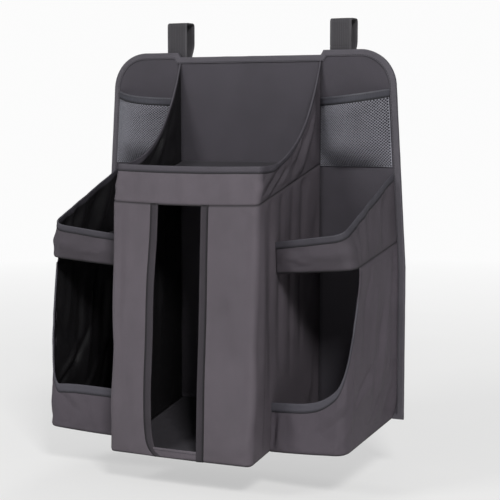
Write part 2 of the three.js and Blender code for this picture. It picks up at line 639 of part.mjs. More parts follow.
function cubby(side) {
  const foot = pocketSeam(side, POCKET_FOOT);
  const roof = pocketSeam(side, POCKET_FLOOR);
  const cornerFoot = LIP_HEIGHT + LIP_RISE[side];
  const cornerTop = cornerFoot + LIP_CORNER_RISE[side];
  const lip = lineOnWall(foot, roof, (part, t) => (
    part === 0
      ? mix(LIP_HEIGHT, cornerFoot, t * t)
      : mix(cornerFoot, cornerTop, THREE.MathUtils.smoothstep(t, 0, 1))
  ));
  const lipParts = [[0, 5], [1, 10]];
  const front = wall(foot, lip, { parts: lipParts, levels: evenly(3), fromRim: LIP_HEM + LIP_HEM_GAP });
  addPiece(`cubby_${side}_lip`, sheet(front, FABRIC), wallCloth());
  const hem = wall(foot, lip, { parts: lipParts, levels: evenly(1), strip: LIP_HEM, fromRim: 0 });
  addPiece(`cubby_${side}_lip_hem`, sheet(hem, HEM_FABRIC), hemCloth());
  const edgeFoot = cornerTop / foot[2].getPoint(0).distanceTo(roof[2].getPoint(0));
  const recess = (v) => MOUTH_RECESS * Math.sin(Math.PI * Math.max(0, (v - edgeFoot) / (1 - edgeFoot)));
  const start = (v) => HEM_FABRIC / 2 + recess(v);
  const outer = wall(foot, roof, { parts: [[2, 18]], levels: evenly(10), start });
  addPiece(`cubby_${side}_outer_wall`, sheet(outer, FABRIC, sideFolds), sideCloth());
  const rear = (x) => at(SIDES[side] * x, 0, POCKET_FOOT.rearHeight);
  const corner = foot[1].v1;
  floorAndBoard(`cubby_${side}`, pocketPlan(foot), slope(rear(COLUMN_REAR), rear(POCKET_FOOT.rear), corner));
}

// Net pockets: place(u, v) is a point of the bulging net, u across it and v up it
function netPoint(side, u, v) {
  const height = mix(NET_BOTTOM, NET_TOP + NET_TOP_RISE * u * u, v);
  const outer = panelHalfWidth(height) - NET_MARGIN;
  const rise = Math.min(1, v / NET_FULL);
  const bulge = NET_BULGE * Math.sin(Math.PI * u) * Math.sin((Math.PI / 2) * rise);
  return at(SIDES[side] * mix(NET_INNER, outer, u), -CLEARANCE - NET_FABRIC - bulge, height);
}

// The net in a grid of cells, each crossed by one strand, between diamond openings that
// are centred on every other corner of the grid
function netPieces() {
  const columns = 2 * NET_COLUMNS;
  const rows = 2 * NET_ROWS;
  const width = PANEL_HALF_WIDTH_TOP - NET_MARGIN - NET_INNER;
  const half = {
    u: 1 / columns - (0.7 * NET_STRAND) / width,
    v: 1 / rows - (0.7 * NET_STRAND) / (NET_TOP - NET_BOTTOM),
  };
  const isOpen = ([i, j]) => (i + j) % 2 === 0 && i > 0 && j > 0 && i < columns && j < rows;
  const pieces = [];
  for (let j = 0; j < rows; j += 1) {
    for (let i = 0; i < columns; i += 1) {
      const corners = [[i, j], [i + 1, j], [i + 1, j + 1], [i, j + 1]];
      pieces.push(corners.flatMap(([a, b], k) => {
        const edges = isOpen([a, b]) ? [corners.at(k - 1), corners[(k + 1) % 4]] : [[a, b]];
        return edges.map(([c, d]) => (
          new THREE.Vector2(a / columns + (c - a) * half.u, b / rows + (d - b) * half.v)
        ));
      }));
    }
  }
  return pieces;
}

function netPocket(side) {
  const nudge = 0.01;
  const place = (p, face) => {
    const along = netPoint(side, p.x + nudge, p.y).sub(netPoint(side, p.x - nudge, p.y));
    const up = netPoint(side, p.x, p.y + nudge).sub(netPoint(side, p.x, p.y - nudge));
    const across = along.cross(up).normalize().multiplyScalar(SIDES[side]);
    return netPoint(side, p.x, p.y).addScaledVector(across, (0.5 - face) * NET_FABRIC);
  };
  addPiece(`net_pocket_${side}_net`, plate(netPieces(), place), netting());
  const rows = [CLEARANCE, BAND_WIDTH].map((rise) => {
    const row = [];
    for (let k = 0; k <= NET_COLUMNS; k += 1) {
      row.push(netPoint(side, k / NET_COLUMNS, 1).add(at(0, 0, rise)));
    }
    return row;
  });
  addPiece(`net_pocket_${side}_band`, sheet(rows, BAND_FABRIC), hemCloth());
}

backPanel();
wipeTray();
stacker();
for (const side of Object.keys(SIDES)) {
  strap(side);
  sideTray(side);
  cubby(side);
  netPocket(side);
}

organizer.position.set(0, -(LOOP_FRONT + LOOP_BACK) / 2, -BEARING_HEIGHT);

export default organizer;
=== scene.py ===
"""Looks of a hanging nursery organizer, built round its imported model.

Sizes are in millimetres: X to the right, depths forward as negative Y from the face of the
back panel, and heights from the stacker's lowest seam. Workbench.add turns them into metres
of the row frame, whose origin is on the line that the strap loops bear on.
"""

from __future__ import annotations

import json
import logging
import math
from collections.abc import Callable, Iterable, Sequence
from dataclasses import dataclass, field
from enum import Enum

import bpy
import numpy as np
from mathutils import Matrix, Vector

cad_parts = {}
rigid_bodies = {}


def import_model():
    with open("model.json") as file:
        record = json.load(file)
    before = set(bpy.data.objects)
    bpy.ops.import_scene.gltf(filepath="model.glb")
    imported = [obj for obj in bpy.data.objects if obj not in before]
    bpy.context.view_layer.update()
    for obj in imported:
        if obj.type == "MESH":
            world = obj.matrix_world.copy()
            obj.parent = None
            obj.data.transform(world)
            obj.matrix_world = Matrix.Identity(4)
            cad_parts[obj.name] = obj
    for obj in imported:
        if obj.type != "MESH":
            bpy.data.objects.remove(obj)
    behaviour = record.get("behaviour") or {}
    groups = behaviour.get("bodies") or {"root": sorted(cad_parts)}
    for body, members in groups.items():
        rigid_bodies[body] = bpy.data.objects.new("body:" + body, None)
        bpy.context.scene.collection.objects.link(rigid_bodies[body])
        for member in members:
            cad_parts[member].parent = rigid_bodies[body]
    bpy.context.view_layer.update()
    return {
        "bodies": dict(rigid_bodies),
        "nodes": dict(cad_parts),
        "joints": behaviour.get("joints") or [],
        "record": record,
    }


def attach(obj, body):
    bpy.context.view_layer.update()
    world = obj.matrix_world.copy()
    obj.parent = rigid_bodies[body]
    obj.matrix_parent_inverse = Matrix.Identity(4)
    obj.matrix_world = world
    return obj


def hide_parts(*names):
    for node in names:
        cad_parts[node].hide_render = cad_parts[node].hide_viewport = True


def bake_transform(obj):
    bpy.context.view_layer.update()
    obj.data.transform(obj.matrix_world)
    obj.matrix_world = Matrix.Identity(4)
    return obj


LOG = logging.getLogger("organizer")
MAIN_BODY = "organizer"
TURNED_UNDER = 0.002
ORIGIN_DEPTH = 19.7
ORIGIN_HEIGHT = 617.0
UV_MAP = "cloth"
# Marks carried to the shader: painted shade in seam grooves, and rubbed wear.
MARKS = ("crease", "worn")

Array = np.ndarray
Point = tuple[float, float, float]
Body = str | tuple[str, str, Point, Point]
Colour = tuple[int, int, int]
Socket = bpy.types.NodeSocket


class Side(Enum):
    """A side of the organizer, seen from its front."""

    LEFT = -1
    RIGHT = 1

    @property
    def word(self) -> str:
        """The side's word in the names of the pieces."""
        return self.name.lower()


class Border(Enum):
    """A border of a cloth grid."""

    FOOT = "foot"
    RIM = "rim"
    START = "start"
    END = "end"


class Weave(Enum):
    """How a cloth's threads run."""

    PLAIN = "plain"
    TWILL = "twill"
    RIBBED = "ribbed"
    FLEECE = "fleece"


def linear(colour: Sequence[int]) -> tuple[float, float, float, float]:
    """Turns a colour written in 0 to 255 steps into the linear one of a shader socket.

    Args:
        colour: red, green and blue, 0 to 255.

    Returns:
        The linear colour with an alpha of 1.
    """
    values = []
    for step in colour:
        share = step / 255
        values.append(share / 12.92 if share <= 0.04045 else ((share + 0.055) / 1.055) ** 2.4)
    return (values[0], values[1], values[2], 1.0)


class Nodes:
    """A short way to lay out the nodes of one material or world."""

    def __init__(self, owner: bpy.types.Material | bpy.types.World) -> None:
        """Empties the nodes of a material or a world.

        Args:
            owner: the material or the world.
        """
        owner.use_nodes = True
        self.tree = owner.node_tree
        self.tree.nodes.clear()

    def add(self, kind: str, inputs: dict[int | str, object] | None = None, **settings: object) -> bpy.types.Node:
        """Adds a node.

        Args:
            kind: the node's type.
            inputs: for some inputs, a socket to read, a plain value, or None to leave it be.
            settings: the node's properties.

        Returns:
            The new node.
        """
        node = self.tree.nodes.new(kind)
        for key, value in settings.items():
            setattr(node, key, value)
        for key, value in (inputs or {}).items():
            if isinstance(value, Socket):
                self.tree.links.new(value, node.inputs[key])
            elif value is not None:
                node.inputs[key].default_value = value
        return node

    def maths(self, operation: str, a: object, b: object = 0.0) -> Socket:
        """A sum on two values."""
        return self.add("ShaderNodeMath", {0: a, 1: b}, operation=operation).outputs[0]

    def plus(self, a: object, b: object) -> Socket:
        """Two values added."""
        return self.maths("ADD", a, b)

    def times(self, a: object, b: object) -> Socket:
        """Two values multiplied."""
        return self.maths("MULTIPLY", a, b)

    def blend(self, share: object, a: object, b: object) -> Socket:
        """A mix of two colours by a share."""
        return self.add("ShaderNodeMix", {0: share, 6: a, 7: b}, data_type="RGBA").outputs[2]

    def noise(self, where: Socket, scale: float, detail: float = 2.0) -> Socket:
        """A noise at a scale per metre, 0 to 1."""
        return self.add("ShaderNodeTexNoise", {"Vector": where, "Scale": scale, "Detail": detail}).outputs[0]

    def bands(self, where: Socket, period: float, direction: str) -> Socket:
        """Soft bands a period apart, in metres, across a direction."""
        inputs = {"Vector": where, "Scale": math.pi / (10 * period)}
        return self.add("ShaderNodeTexWave", inputs, bands_direction=direction).outputs[1]

    def span(self, value: object, low: float, high: float, to_low: float, to_high: float) -> Socket:
        """A value carried from one range to another, and held at its ends."""
        inputs = {"Value": value, "From Min": low, "From Max": high, "To Min": to_low, "To Max": to_high}
        return self.add("ShaderNodeMapRange", inputs).outputs[0]

    def bump(self, height: object, distance: float, strength: float, under: Socket | None = None) -> Socket:
        """A bump of a height field, laid over another one if given."""
        inputs = {"Height": height, "Distance": distance, "Strength": strength, "Normal": under}
        return self.add("ShaderNodeBump", inputs).outputs[0]

    def surface(self, inputs: dict[int | str, object]) -> None:
        """Ends in a Principled shader with these inputs."""
        shader = self.add("ShaderNodeBsdfPrincipled", inputs)
        self.add("ShaderNodeOutputMaterial", {"Surface": shader.outputs[0]})


class Finish:
    """The look of a surface."""

    name: str

    def material(self) -> bpy.types.Material:
        """The finish as a material, made once.

        Returns:
            The material.
        """
        material = bpy.data.materials.get(self.name)
        if material is None:
            material = bpy.data.materials.new(self.name)
            self.lay_out(Nodes(material))
        return material

    def lay_out(self, nodes: Nodes) -> None:
        """Lays out the material's nodes."""
        raise NotImplementedError


@dataclass(frozen=True)
class ClothFinish(Finish):
    """A woven or felted cloth: its colour, threads, sheen, the marks of use and a painted shade in its seams.

    Threads and their relief are in millimetres, the scales of its noises per metre.
    """

    name: str
    colour: Colour
    weave: Weave = Weave.PLAIN
    thread: float = 0.7
    relief: float = 0.12
    contrast: float = 0.16
    roughness: float = 0.66
    sheen: float = 0.06
    crumple: float = 0.5
    worn: Colour = (128, 126, 130)
    worn_share: float = 0.16

    CLOUD = 9.0
    PATCH = 46.0
    CRUMPLE = 75.0
    FLECK = 1400.0
    DARK = 0.62
    LIGHT = 1.38
    # Painted seam shade: how dark it is, and how much of it is laid on.
    IN_SEAM = 0.32
    SEAM_SHARE = 0.85
    UNEVEN = 0.06
    SPECULAR = 0.34
    SHEEN_ROUGHNESS = 0.42
    SHEEN_LIFT = 60

    def lay_out(self, nodes: Nodes) -> None:
        """Lays out the material's nodes.

        Args:
            nodes: the material's nodes.
        """
        coordinates = nodes.add("ShaderNodeTexCoord")
        flat, solid = coordinates.outputs["UV"], coordinates.outputs["Object"]
        weave = self._weave(nodes, flat, solid)
        cloud, patch = nodes.noise(solid, self.CLOUD, 3.0), nodes.noise(solid, self.PATCH, 3.0)
        fleck = nodes.noise(solid if self.weave is Weave.FLEECE else flat, self.FLECK, 1.0)
        tone = nodes.plus(nodes.span(cloud, 0.3, 0.7, -0.07, 0.07), nodes.span(patch, 0.3, 0.7, -0.035, 0.035))
        tone = nodes.plus(tone, nodes.span(weave, 0.0, 1.0, -self.contrast, self.contrast))
        tone = nodes.plus(tone, nodes.span(fleck, 0.35, 0.75, -0.05, 0.07))
        colour = nodes.blend(nodes.plus(tone, 0.5), self._shade(self.DARK), self._shade(self.LIGHT))
        # Painted shade: the first mark darkens the cloth in its seam grooves and along hem stitches.
        crease, edge = (nodes.add("ShaderNodeAttribute", attribute_name=mark).outputs["Fac"] for mark in MARKS)
        colour = nodes.blend(nodes.times(crease, self.SEAM_SHARE), colour, self._shade(self.IN_SEAM))
        rubbed = nodes.times(nodes.times(edge, self.worn_share), nodes.span(patch, 0.35, 0.65, 0.5, 1.5))
        rough = nodes.span(patch, 0.3, 0.7, self.roughness - self.UNEVEN, self.roughness + self.UNEVEN)
        crumple = nodes.bump(nodes.noise(solid, self.CRUMPLE, 3.0), 0.0012, self.crumple * 0.5)
        nodes.surface({
            "Base Color": nodes.blend(rubbed, colour, linear(self.worn)),
            "Roughness": nodes.plus(rough, nodes.times(edge, -0.08)),
            "Specular IOR Level": self.SPECULAR,
            "Sheen Weight": self.sheen,
            "Sheen Roughness": self.SHEEN_ROUGHNESS,
            "Sheen Tint": linear([min(255, step + self.SHEEN_LIFT) for step in self.colour]),
            "Normal": nodes.bump(weave, self.relief / 1000, 0.8, crumple),
        })

    def _shade(self, share: float) -> tuple[float, float, float, float]:
        """The cloth's colour, darker or lighter by a share."""
        return linear([min(255, round(step * share)) for step in self.colour])

    def _weave(self, nodes: Nodes, flat: Socket, solid: Socket) -> Socket:
        """The height of the threads, 0 to 1.

        Args:
            nodes: the material's nodes.
            flat: coordinates along the cloth, in metres.
            solid: coordinates in space, in metres.

        Returns:
            The height as a socket.
        """
        period = self.thread / 1000
        if self.weave is Weave.FLEECE:
            return nodes.noise(solid, 1.0 / period, 4.0)
        if self.weave is Weave.RIBBED:
            ribs, picks = nodes.bands(flat, period * 3.2, "X"), nodes.bands(flat, period, "Y")
            return nodes.plus(nodes.times(ribs, 0.6), nodes.times(picks, 0.4))
        warp = nodes.bands(flat, period, "X")
        if self.weave is Weave.TWILL:
            slant = nodes.bands(flat, period * 1.5, "DIAGONAL")
            return nodes.plus(nodes.times(slant, 0.65), nodes.times(warp, 0.35))
        weft = nodes.bands(flat, period, "Y")
        check = nodes.add("ShaderNodeTexChecker", {"Vector": flat, "Scale": 2 / period}).outputs["Fac"]
        return nodes.plus(nodes.times(warp, check), nodes.times(weft, nodes.maths("SUBTRACT", 1.0, check)))


@dataclass(frozen=True)
class FibreFinish(Finish):
    """Pressed fibreboard: a brown mat of chips, dull."""

    name: str = "pressed fibreboard"
    colour: Colour = (138, 117, 96)

    CHIPS = 420.0
    MOTTLE = 60.0

    def lay_out(self, nodes: Nodes) -> None:
        """Lays out the material's nodes.

        Args:
            nodes: the material's nodes.
        """
        solid = nodes.add("ShaderNodeTexCoord").outputs["Object"]
        chips = nodes.add("ShaderNodeTexVoronoi", {"Vector": solid, "Scale": self.CHIPS}).outputs["Distance"]
        mottle = nodes.noise(solid, self.MOTTLE, 5.0)
        share = nodes.plus(nodes.times(chips, 0.8), nodes.span(mottle, 0.3, 0.7, -0.1, 0.5))
        dark, light = (linear([round(step * part) for step in self.colour]) for part in (0.72, 1.16))
        nodes.surface({
            "Base Color": nodes.blend(share, dark, light),
            "Roughness": nodes.span(mottle, 0.3, 0.7, 0.78, 0.94),
            "Normal": nodes.bump(chips, 0.0004, 0.6),
        })


def tape(name: str, colour: Colour, worn: Colour, worn_share: float = 0.14) -> ClothFinish:
    """The finish of a twill tape or of a folded hem."""
    return ClothFinish(name, colour, Weave.TWILL, thread=0.6, worn=worn, worn_share=worn_share)


# One polyester throughout: the column front's colour is the cloth's own, and the side, gusset, cubby and tray copies
# are darker by painted shade, for how the light falls on them.
COLUMN_CLOTH = ClothFinish("column front polyester", (91, 85, 91), sheen=0.05)
SIDE_SHADED_CLOTH = ClothFinish("column side polyester", (85, 79, 85), sheen=0.05)
GUSSET_SHADED_CLOTH = ClothFinish("gusset polyester", (74, 69, 75), sheen=0.05)
CUBBY_SHADED_CLOTH = ClothFinish("cubby polyester", (79, 73, 80), sheen=0.05)
TRAY_SHADED_CLOTH = ClothFinish("side tray polyester", (73, 68, 74), sheen=0.05)
COVER_CLOTH = ClothFinish("panel cover polyester", (70, 67, 73), roughness=0.7)
HEM_CLOTH = tape("folded hem", (66, 64, 70), (92, 91, 97))
SLOT_TAPE = tape("slot binding tape", (54, 50, 55), (84, 80, 86), 0.1)
RIM_CLOTH = tape("wipe tray hem", (70, 67, 73), (98, 96, 102))
LIP_CLOTH = tape("cubby lip hem", (72, 70, 77), (96, 94, 101))
# Painted light: the binding is a lighter copy of the cover's colour, to offset the shade that the pocket walls cast on
# its sides.
LIT_BINDING_TAPE = tape("panel binding tape", (84, 81, 87), (96, 96, 102), 0.12)
BOARD_CLOTH = ClothFinish("base board cover", (58, 56, 60), roughness=0.72)
# Painted shade: a near-black finish for inner faces and floors, standing in for the shade inside the trays, cubbies and
# column.
INSIDE_SHADE = ClothFinish("coated inner face", (24, 23, 25), relief=0.06, contrast=0.08, roughness=0.5, sheen=0.05)
WEBBING = ClothFinish(
    "strap webbing", (64, 62, 65), Weave.RIBBED, thread=0.9, relief=0.3, contrast=0.22, roughness=0.74, sheen=0.12
)
NETTING = ClothFinish(
    "pocket netting", (136, 136, 144), Weave.TWILL, thread=0.3, relief=0.08, roughness=0.6, sheen=0.1, crumple=0.0
)
ELASTIC = ClothFinish("elastic top band", (66, 66, 73), Weave.RIBBED, thread=0.7, relief=0.2, worn_share=0.2)
THREAD = ClothFinish(
    "sewing thread", (44, 43, 48), Weave.TWILL, thread=0.35, relief=0.1, contrast=0.3, roughness=0.5, crumple=0.0
)
HOOKS = ClothFinish(
    "hook tape", (44, 44, 48), Weave.FLEECE, thread=0.8, relief=0.7, contrast=0.3, roughness=0.6, sheen=0.05
)
LOOPS = ClothFinish(
    "loop tape", (50, 50, 54), Weave.FLEECE, thread=1.3, relief=0.9, contrast=0.34, roughness=0.9, sheen=0.4
)
FIBREBOARD = FibreFinish()


@dataclass(frozen=True)
class Bezier:
    """A curve from its first control point to its last: a line for two, a turn for three."""

    controls: tuple[Point, ...]

    def at(self, shares: Array) -> Array:
        """Points of the curve.

        Args:
            shares: how far along the curve each one is, 0 to 1.

        Returns:
            An array of the points.
        """
        t = np.asarray(shares, float)[None, :, None]
        points = np.repeat(np.array(self.controls, float)[:, None, :], t.shape[1], axis=1)
        while len(points) > 1:
            points = points[:-1] * (1 - t) + points[1:] * t
        return points[0]

    @property
    def start(self) -> Array:
        """The first point."""
        return np.array(self.controls[0], float)

    @property
    def end(self) -> Array:
        """The last point."""
        return np.array(self.controls[-1], float)


def toward(a: Sequence[float], b: Sequence[float], share: float) -> Point:
    """A point a share of the way from a to b."""
    x, y, z = (p + (q - p) * share for p, q in zip(a, b))
    return (x, y, z)


def apart(a: Sequence[float], b: Sequence[float]) -> float:
    """The distance between two points."""
    return math.dist(tuple(a), tuple(b))


def bell(distance: Array, reach: float) -> Array:
    """A soft bell: 1 at no distance, next to nothing beyond twice its reach."""
    return np.exp(-((distance / reach) ** 2))


def unit(ways: Array) -> Array:
    """Rows of vectors brought to a length of 1."""
    return ways / np.linalg.norm(ways, axis=1, keepdims=True)


def run_along(line: Array) -> Array:
    """How far along a line each of its points is."""
    return np.concatenate([[0], np.cumsum(np.linalg.norm(np.diff(line, axis=0), axis=1))])


def cells(numbers: Array) -> Array:
    """The quads between the points of a grid, from the points' numbers."""
    return np.stack([numbers[:-1, :-1], numbers[:-1, 1:], numbers[1:, 1:], numbers[1:, :-1]], axis=-1).reshape(-1, 4)


def bowed(a: Point, b: Point, push: Point) -> Bezier:
    """A shallow curve that stands out by push at its middle."""
    middle = toward(a, b, 0.5)
    return Bezier((a, (middle[0] + 2 * push[0], middle[1] + 2 * push[1], middle[2] + 2 * push[2]), b))


FABRIC = 1.6
HEM = 9.0
HEM_FABRIC = 2.4
STITCH_INSET = 1.7
FRONT_BOW = 2.5
OVER_BINDING = 1.4
CLEARANCE = 0.3
COLUMN_REAR = 117.0
COLUMN_CORNER = 9.0


@dataclass(frozen=True)
class ColumnSeam:
    """A seam line round the central column: left side, corner, front, corner, right side."""

    half_width: float
    depth: float
    height: float
    rear_height: float
    rear_depth: float = CLEARANCE
    corner_rise: float = 0.0
    sag: float = 0.0
    falling: bool = False

    FALL = ((110, 405), (40, 450))

    def curves(self) -> list[Bezier]:
        """The seam from the left rear round to the right rear.

        Returns:
            Its five curves.
        """
        left, right = self._half(-1), self._half(1)
        return [
            self._run(left[0], left[1]),
            Bezier(left[1:]),
            bowed(left[3], right[3], (0, -FRONT_BOW, -self.sag)),
            Bezier(right[:0:-1]),
            self._run(right[1], right[0]),
        ]

    def _half(self, side: int) -> tuple[Point, ...]:
        """The points that one half is drawn through.

        Args:
            side: -1 for the left half, 1 for the right one.

        Returns:
            Its rear, the corner's start, the corner, and the front's start.
        """
        rear = (side * COLUMN_REAR, -self.rear_depth, self.rear_height)
        corner = (side * self.half_width, -self.depth, self.height)
        x, y, _ = toward(corner, rear, COLUMN_CORNER / self.depth)
        on_front = (side * (self.half_width - COLUMN_CORNER), -self.depth, self.height)
        return rear, (x, y, self.height + self.corner_rise), corner, on_front

    def _run(self, a: Point, b: Point) -> Bezier:
        """A side run, straight, or falling steeply from the panel and running out level.

        Args:
            a: where it starts.
            b: where it ends.

        Returns:
            The run.
        """
        if not self.falling:
            return Bezier((a, b))
        side = -1 if a[0] < 0 else 1
        near, far = ((side * column_half_width(d, COLUMN_SEAM.height), -d, z) for d, z in self.FALL)
        return Bezier((a, far, near, b) if a[2] > b[2] else (a, near, far, b))


COLUMN_FOOT = ColumnSeam(112, 225, 0, 37, rear_depth=OVER_BINDING, corner_rise=1.5)
COLUMN_SEAM = ColumnSeam(114, 207, 356, 406, corner_rise=2, sag=2)
COLUMN_RIM = ColumnSeam(113, 194, 408, 557, sag=1.5, falling=True)


def column_half_width(depth: float, height: float) -> float:
    """Half the width across the column's side walls.

    Args:
        depth: how far in front of the panel.
        height: how far above the lowest seam.

    Returns:
        The half width in millimetres.
    """
    share = height / COLUMN_SEAM.height
    front = COLUMN_FOOT.half_width + (COLUMN_SEAM.half_width - COLUMN_FOOT.half_width) * share
    reach = COLUMN_FOOT.depth + (COLUMN_SEAM.depth - COLUMN_FOOT.depth) * share
    return COLUMN_REAR + (front - COLUMN_REAR) * depth / reach


@dataclass(frozen=True)
class PocketSeam:
    """A seam line round a side pocket: front, corner, outer side."""

    depth: float
    height: float
    outer: float
    corner_depth: float
    corner_height: float
    rear: float
    rear_height: float
    left_fuller: float
    left_drop: float
    rear_depth: float = CLEARANCE
    corner: float = 20.0

    def curves(self, side: Side) -> list[Bezier]:
        """The seam from the column round to the panel.

        Args:
            side: the pocket's side.

        Returns:
            Its three curves.
        """
        fuller, drop = (self.left_fuller, self.left_drop) if side is Side.LEFT else (0.0, 0.0)
        edge = column_half_width(self.depth, self.height) + FABRIC / 2 + 2 * CLEARANCE
        inner = (side.value * edge, -self.depth, self.height - drop)
        corner = (side.value * (self.outer + fuller), -self.corner_depth, self.corner_height - drop)
        rear = (side.value * self.rear, -self.rear_depth, self.rear_height)
        on_front = toward(corner, inner, self.corner / apart(corner, inner))
        on_side = toward(corner, rear, self.corner / apart(corner, rear))
        return [
            bowed(inner, on_front, (0, -FRONT_BOW, 0)),
            Bezier((on_front, corner, on_side)),
            Bezier((on_side, rear)),
        ]


POCKET_FOOT = PocketSeam(168, 10, 234, 184, 19, 235, 36, 12, 4, rear_depth=OVER_BINDING)
POCKET_FLOOR = PocketSeam(149, 259, 241, 172, 271, 238, 295, 6, 3)
POCKET_RIM = PocketSeam(152, 302, 228, 181, 319, 231, 393, 5, 1)


@dataclass(frozen=True)
class Lip:
    """The cubby's top edge: level across the front, then steeply up around the corner."""

    foot: list[Bezier]
    roof: list[Bezier]
    height: float
    corner_foot: float
    corner_top: float

    POWER = 5

    def curves(self) -> list["LipCurve"]:
        """The lip's two curves."""
        return [LipCurve(self, part) for part in (0, 1)]

    def rise(self, part: int, shares: Array) -> Array:
        """Heights of the lip above the cubby's foot, with no step where the corner starts.

        Args:
            part: 0 for the front, 1 for the corner.
            shares: how far along that part, 0 to 1.

        Returns:
            The heights.
        """
        climb, rest = self.corner_foot - self.height, self.corner_top - self.corner_foot
        if part == 0:
            return self.height + climb * shares**self.POWER
        front, corner = self.foot[0], self.foot[1]
        slope = self.POWER * climb / apart(front.start, front.end)
        length = 0.9 * (apart(corner.start, corner.controls[1]) + apart(corner.controls[1], corner.end))
        first = slope * length / rest
        return self.corner_foot + rest * (first * shares + (1 - first) * shares**2)


@dataclass(frozen=True)
class LipCurve:
    """One curve of a lip."""

    lip: Lip
    part: int

    def at(self, shares: Array) -> Array:
        """Points of the curve.

        Args:
            shares: how far along the curve each one is, 0 to 1.

        Returns:
            The points.
        """
        shares = np.asarray(shares, float)
        low, high = self.lip.foot[self.part].at(shares), self.lip.roof[self.part].at(shares)
        span = np.linalg.norm(high - low, axis=1)
        return low + (high - low) * (self.lip.rise(self.part, shares) / span)[:, None]


@dataclass(frozen=True)
class Fold:
    """A soft ridge, or a hollow where its height is negative, along a line on a cloth.

    start and end are millimetres along the cloth's foot and up from it.
    """

    start: tuple[float, float]
    end: tuple[float, float]
    width: float
    height: float

    def lift(self, ply: "Ply") -> Array:
        """How far it lifts a cloth.

        Args:
            ply: the cloth.

        Returns:
            The lift of each point.
        """
        a, b = np.array(self.start), np.array(self.end)
        here = np.stack([np.broadcast_to(ply.along[:1], ply.up.shape), ply.up], axis=-1)
        run = b - a
        share = np.clip(((here - a) @ run) / (run @ run), 0, 1)
        off = np.linalg.norm(here - a - share[..., None] * run, axis=-1)
        return self.height * bell(off, self.width) * np.sin(math.pi * (0.12 + 0.76 * share))


@dataclass(frozen=True)
class Ripple:
    """The uneven lie of a cloth, the same at each run."""

    seed: int
    wavelength: float
    height: float
    upright: float = 1.0

    def lift(self, ply: "Ply") -> Array:
        """How far it lifts a cloth.

        Args:
            ply: the cloth.

        Returns:
            The lift of each point.
        """
        chance = np.random.default_rng(self.seed)
        total = np.zeros(ply.along.shape)
        for _ in range(9):
            angle, phase = chance.uniform(0, math.pi), chance.uniform(0, 2 * math.pi)
            pitch = 2 * math.pi / (self.wavelength * chance.uniform(0.65, 1.7))
            total += np.sin(pitch * (ply.along * math.cos(angle) + ply.up * math.sin(angle) / self.upright) + phase)
        return total * self.height / 3


@dataclass(frozen=True)
class Pucker:
    """Short tucks that a seam draws into the cloth beside it."""

    border: Border
    pitch: float = 17.0
    reach: float = 13.0
    height: float = 1.5

    def lift(self, ply: "Ply") -> Array:
        """How far it lifts a cloth.

        Args:
            ply: the cloth.

        Returns:
            The lift of each point.
        """
        upright = self.border in (Border.START, Border.END)
        place = (ply.up if upright else ply.along) / self.pitch
        tucks = np.sin(2 * math.pi * place) + 0.6 * np.sin(2 * math.pi * place * 0.61 + 1.3)
        return self.height / 1.6 * tucks * bell(ply.off(self.border), self.reach)


Form = Fold | Ripple | Pucker


def folds(rows: Iterable[Sequence[float]], origin: float = 0.0, way: int = 1) -> list[Form]:
    """Folds from rows of numbers.

    Args:
        rows: for each, its start along the foot and up, its end, its width and its height.
        origin: the place along the foot that the starts and ends are measured from.
        way: 1 to measure them onward, -1 to measure them back.

    Returns:
        The folds.
    """
    return [Fold((origin + way * a, b), (origin + way * c, d), *size) for a, b, c, d, *size in rows]


DRAPE_PITCH = 6.5
DRAPE_FRAMES = 22


def linear_weights(known: Array, wanted: Array) -> Array:
    """Weights that read a line at wanted places from its values at known places.

    Args:
        known: places of the values, rising from 0 to 1.
        wanted: places to read, 0 to 1.

    Returns:
        A matrix with a row for each wanted place.
    """
    upper = np.clip(np.searchsorted(known, wanted), 1, len(known) - 1)
    share = (wanted - known[upper - 1]) / np.maximum(known[upper] - known[upper - 1], 1e-12)
    weights = np.zeros((len(wanted), len(known)))
    rows = np.arange(len(wanted))
    weights[rows, upper - 1] = 1 - share
    weights[rows, upper] += share
    return weights


def smooth_weights(wanted: Array, steps: int) -> Array:
    """Weights of a smooth curve through evenly spaced values.

    Args:
        wanted: places to read, 0 to 1.
        steps: the number of even steps.

    Returns:
        A matrix with a row for each wanted place.
    """
    place = np.clip(wanted * steps, 0, steps - 1e-9)
    cell = place.astype(int)
    t = place - cell
    factors = (
        (-t + 2 * t**2 - t**3) / 2,
        (2 - 5 * t**2 + 3 * t**3) / 2,
        (t + 4 * t**2 - 3 * t**3) / 2,
        (-(t**2) + t**3) / 2,
    )
    weights = np.zeros((len(wanted), steps + 1))
    rows = np.arange(len(wanted))
    for offset, factor in zip((-1, 0, 1, 2), factors):
        np.add.at(weights, (rows, np.clip(cell + offset, 0, steps)), factor)
    return weights


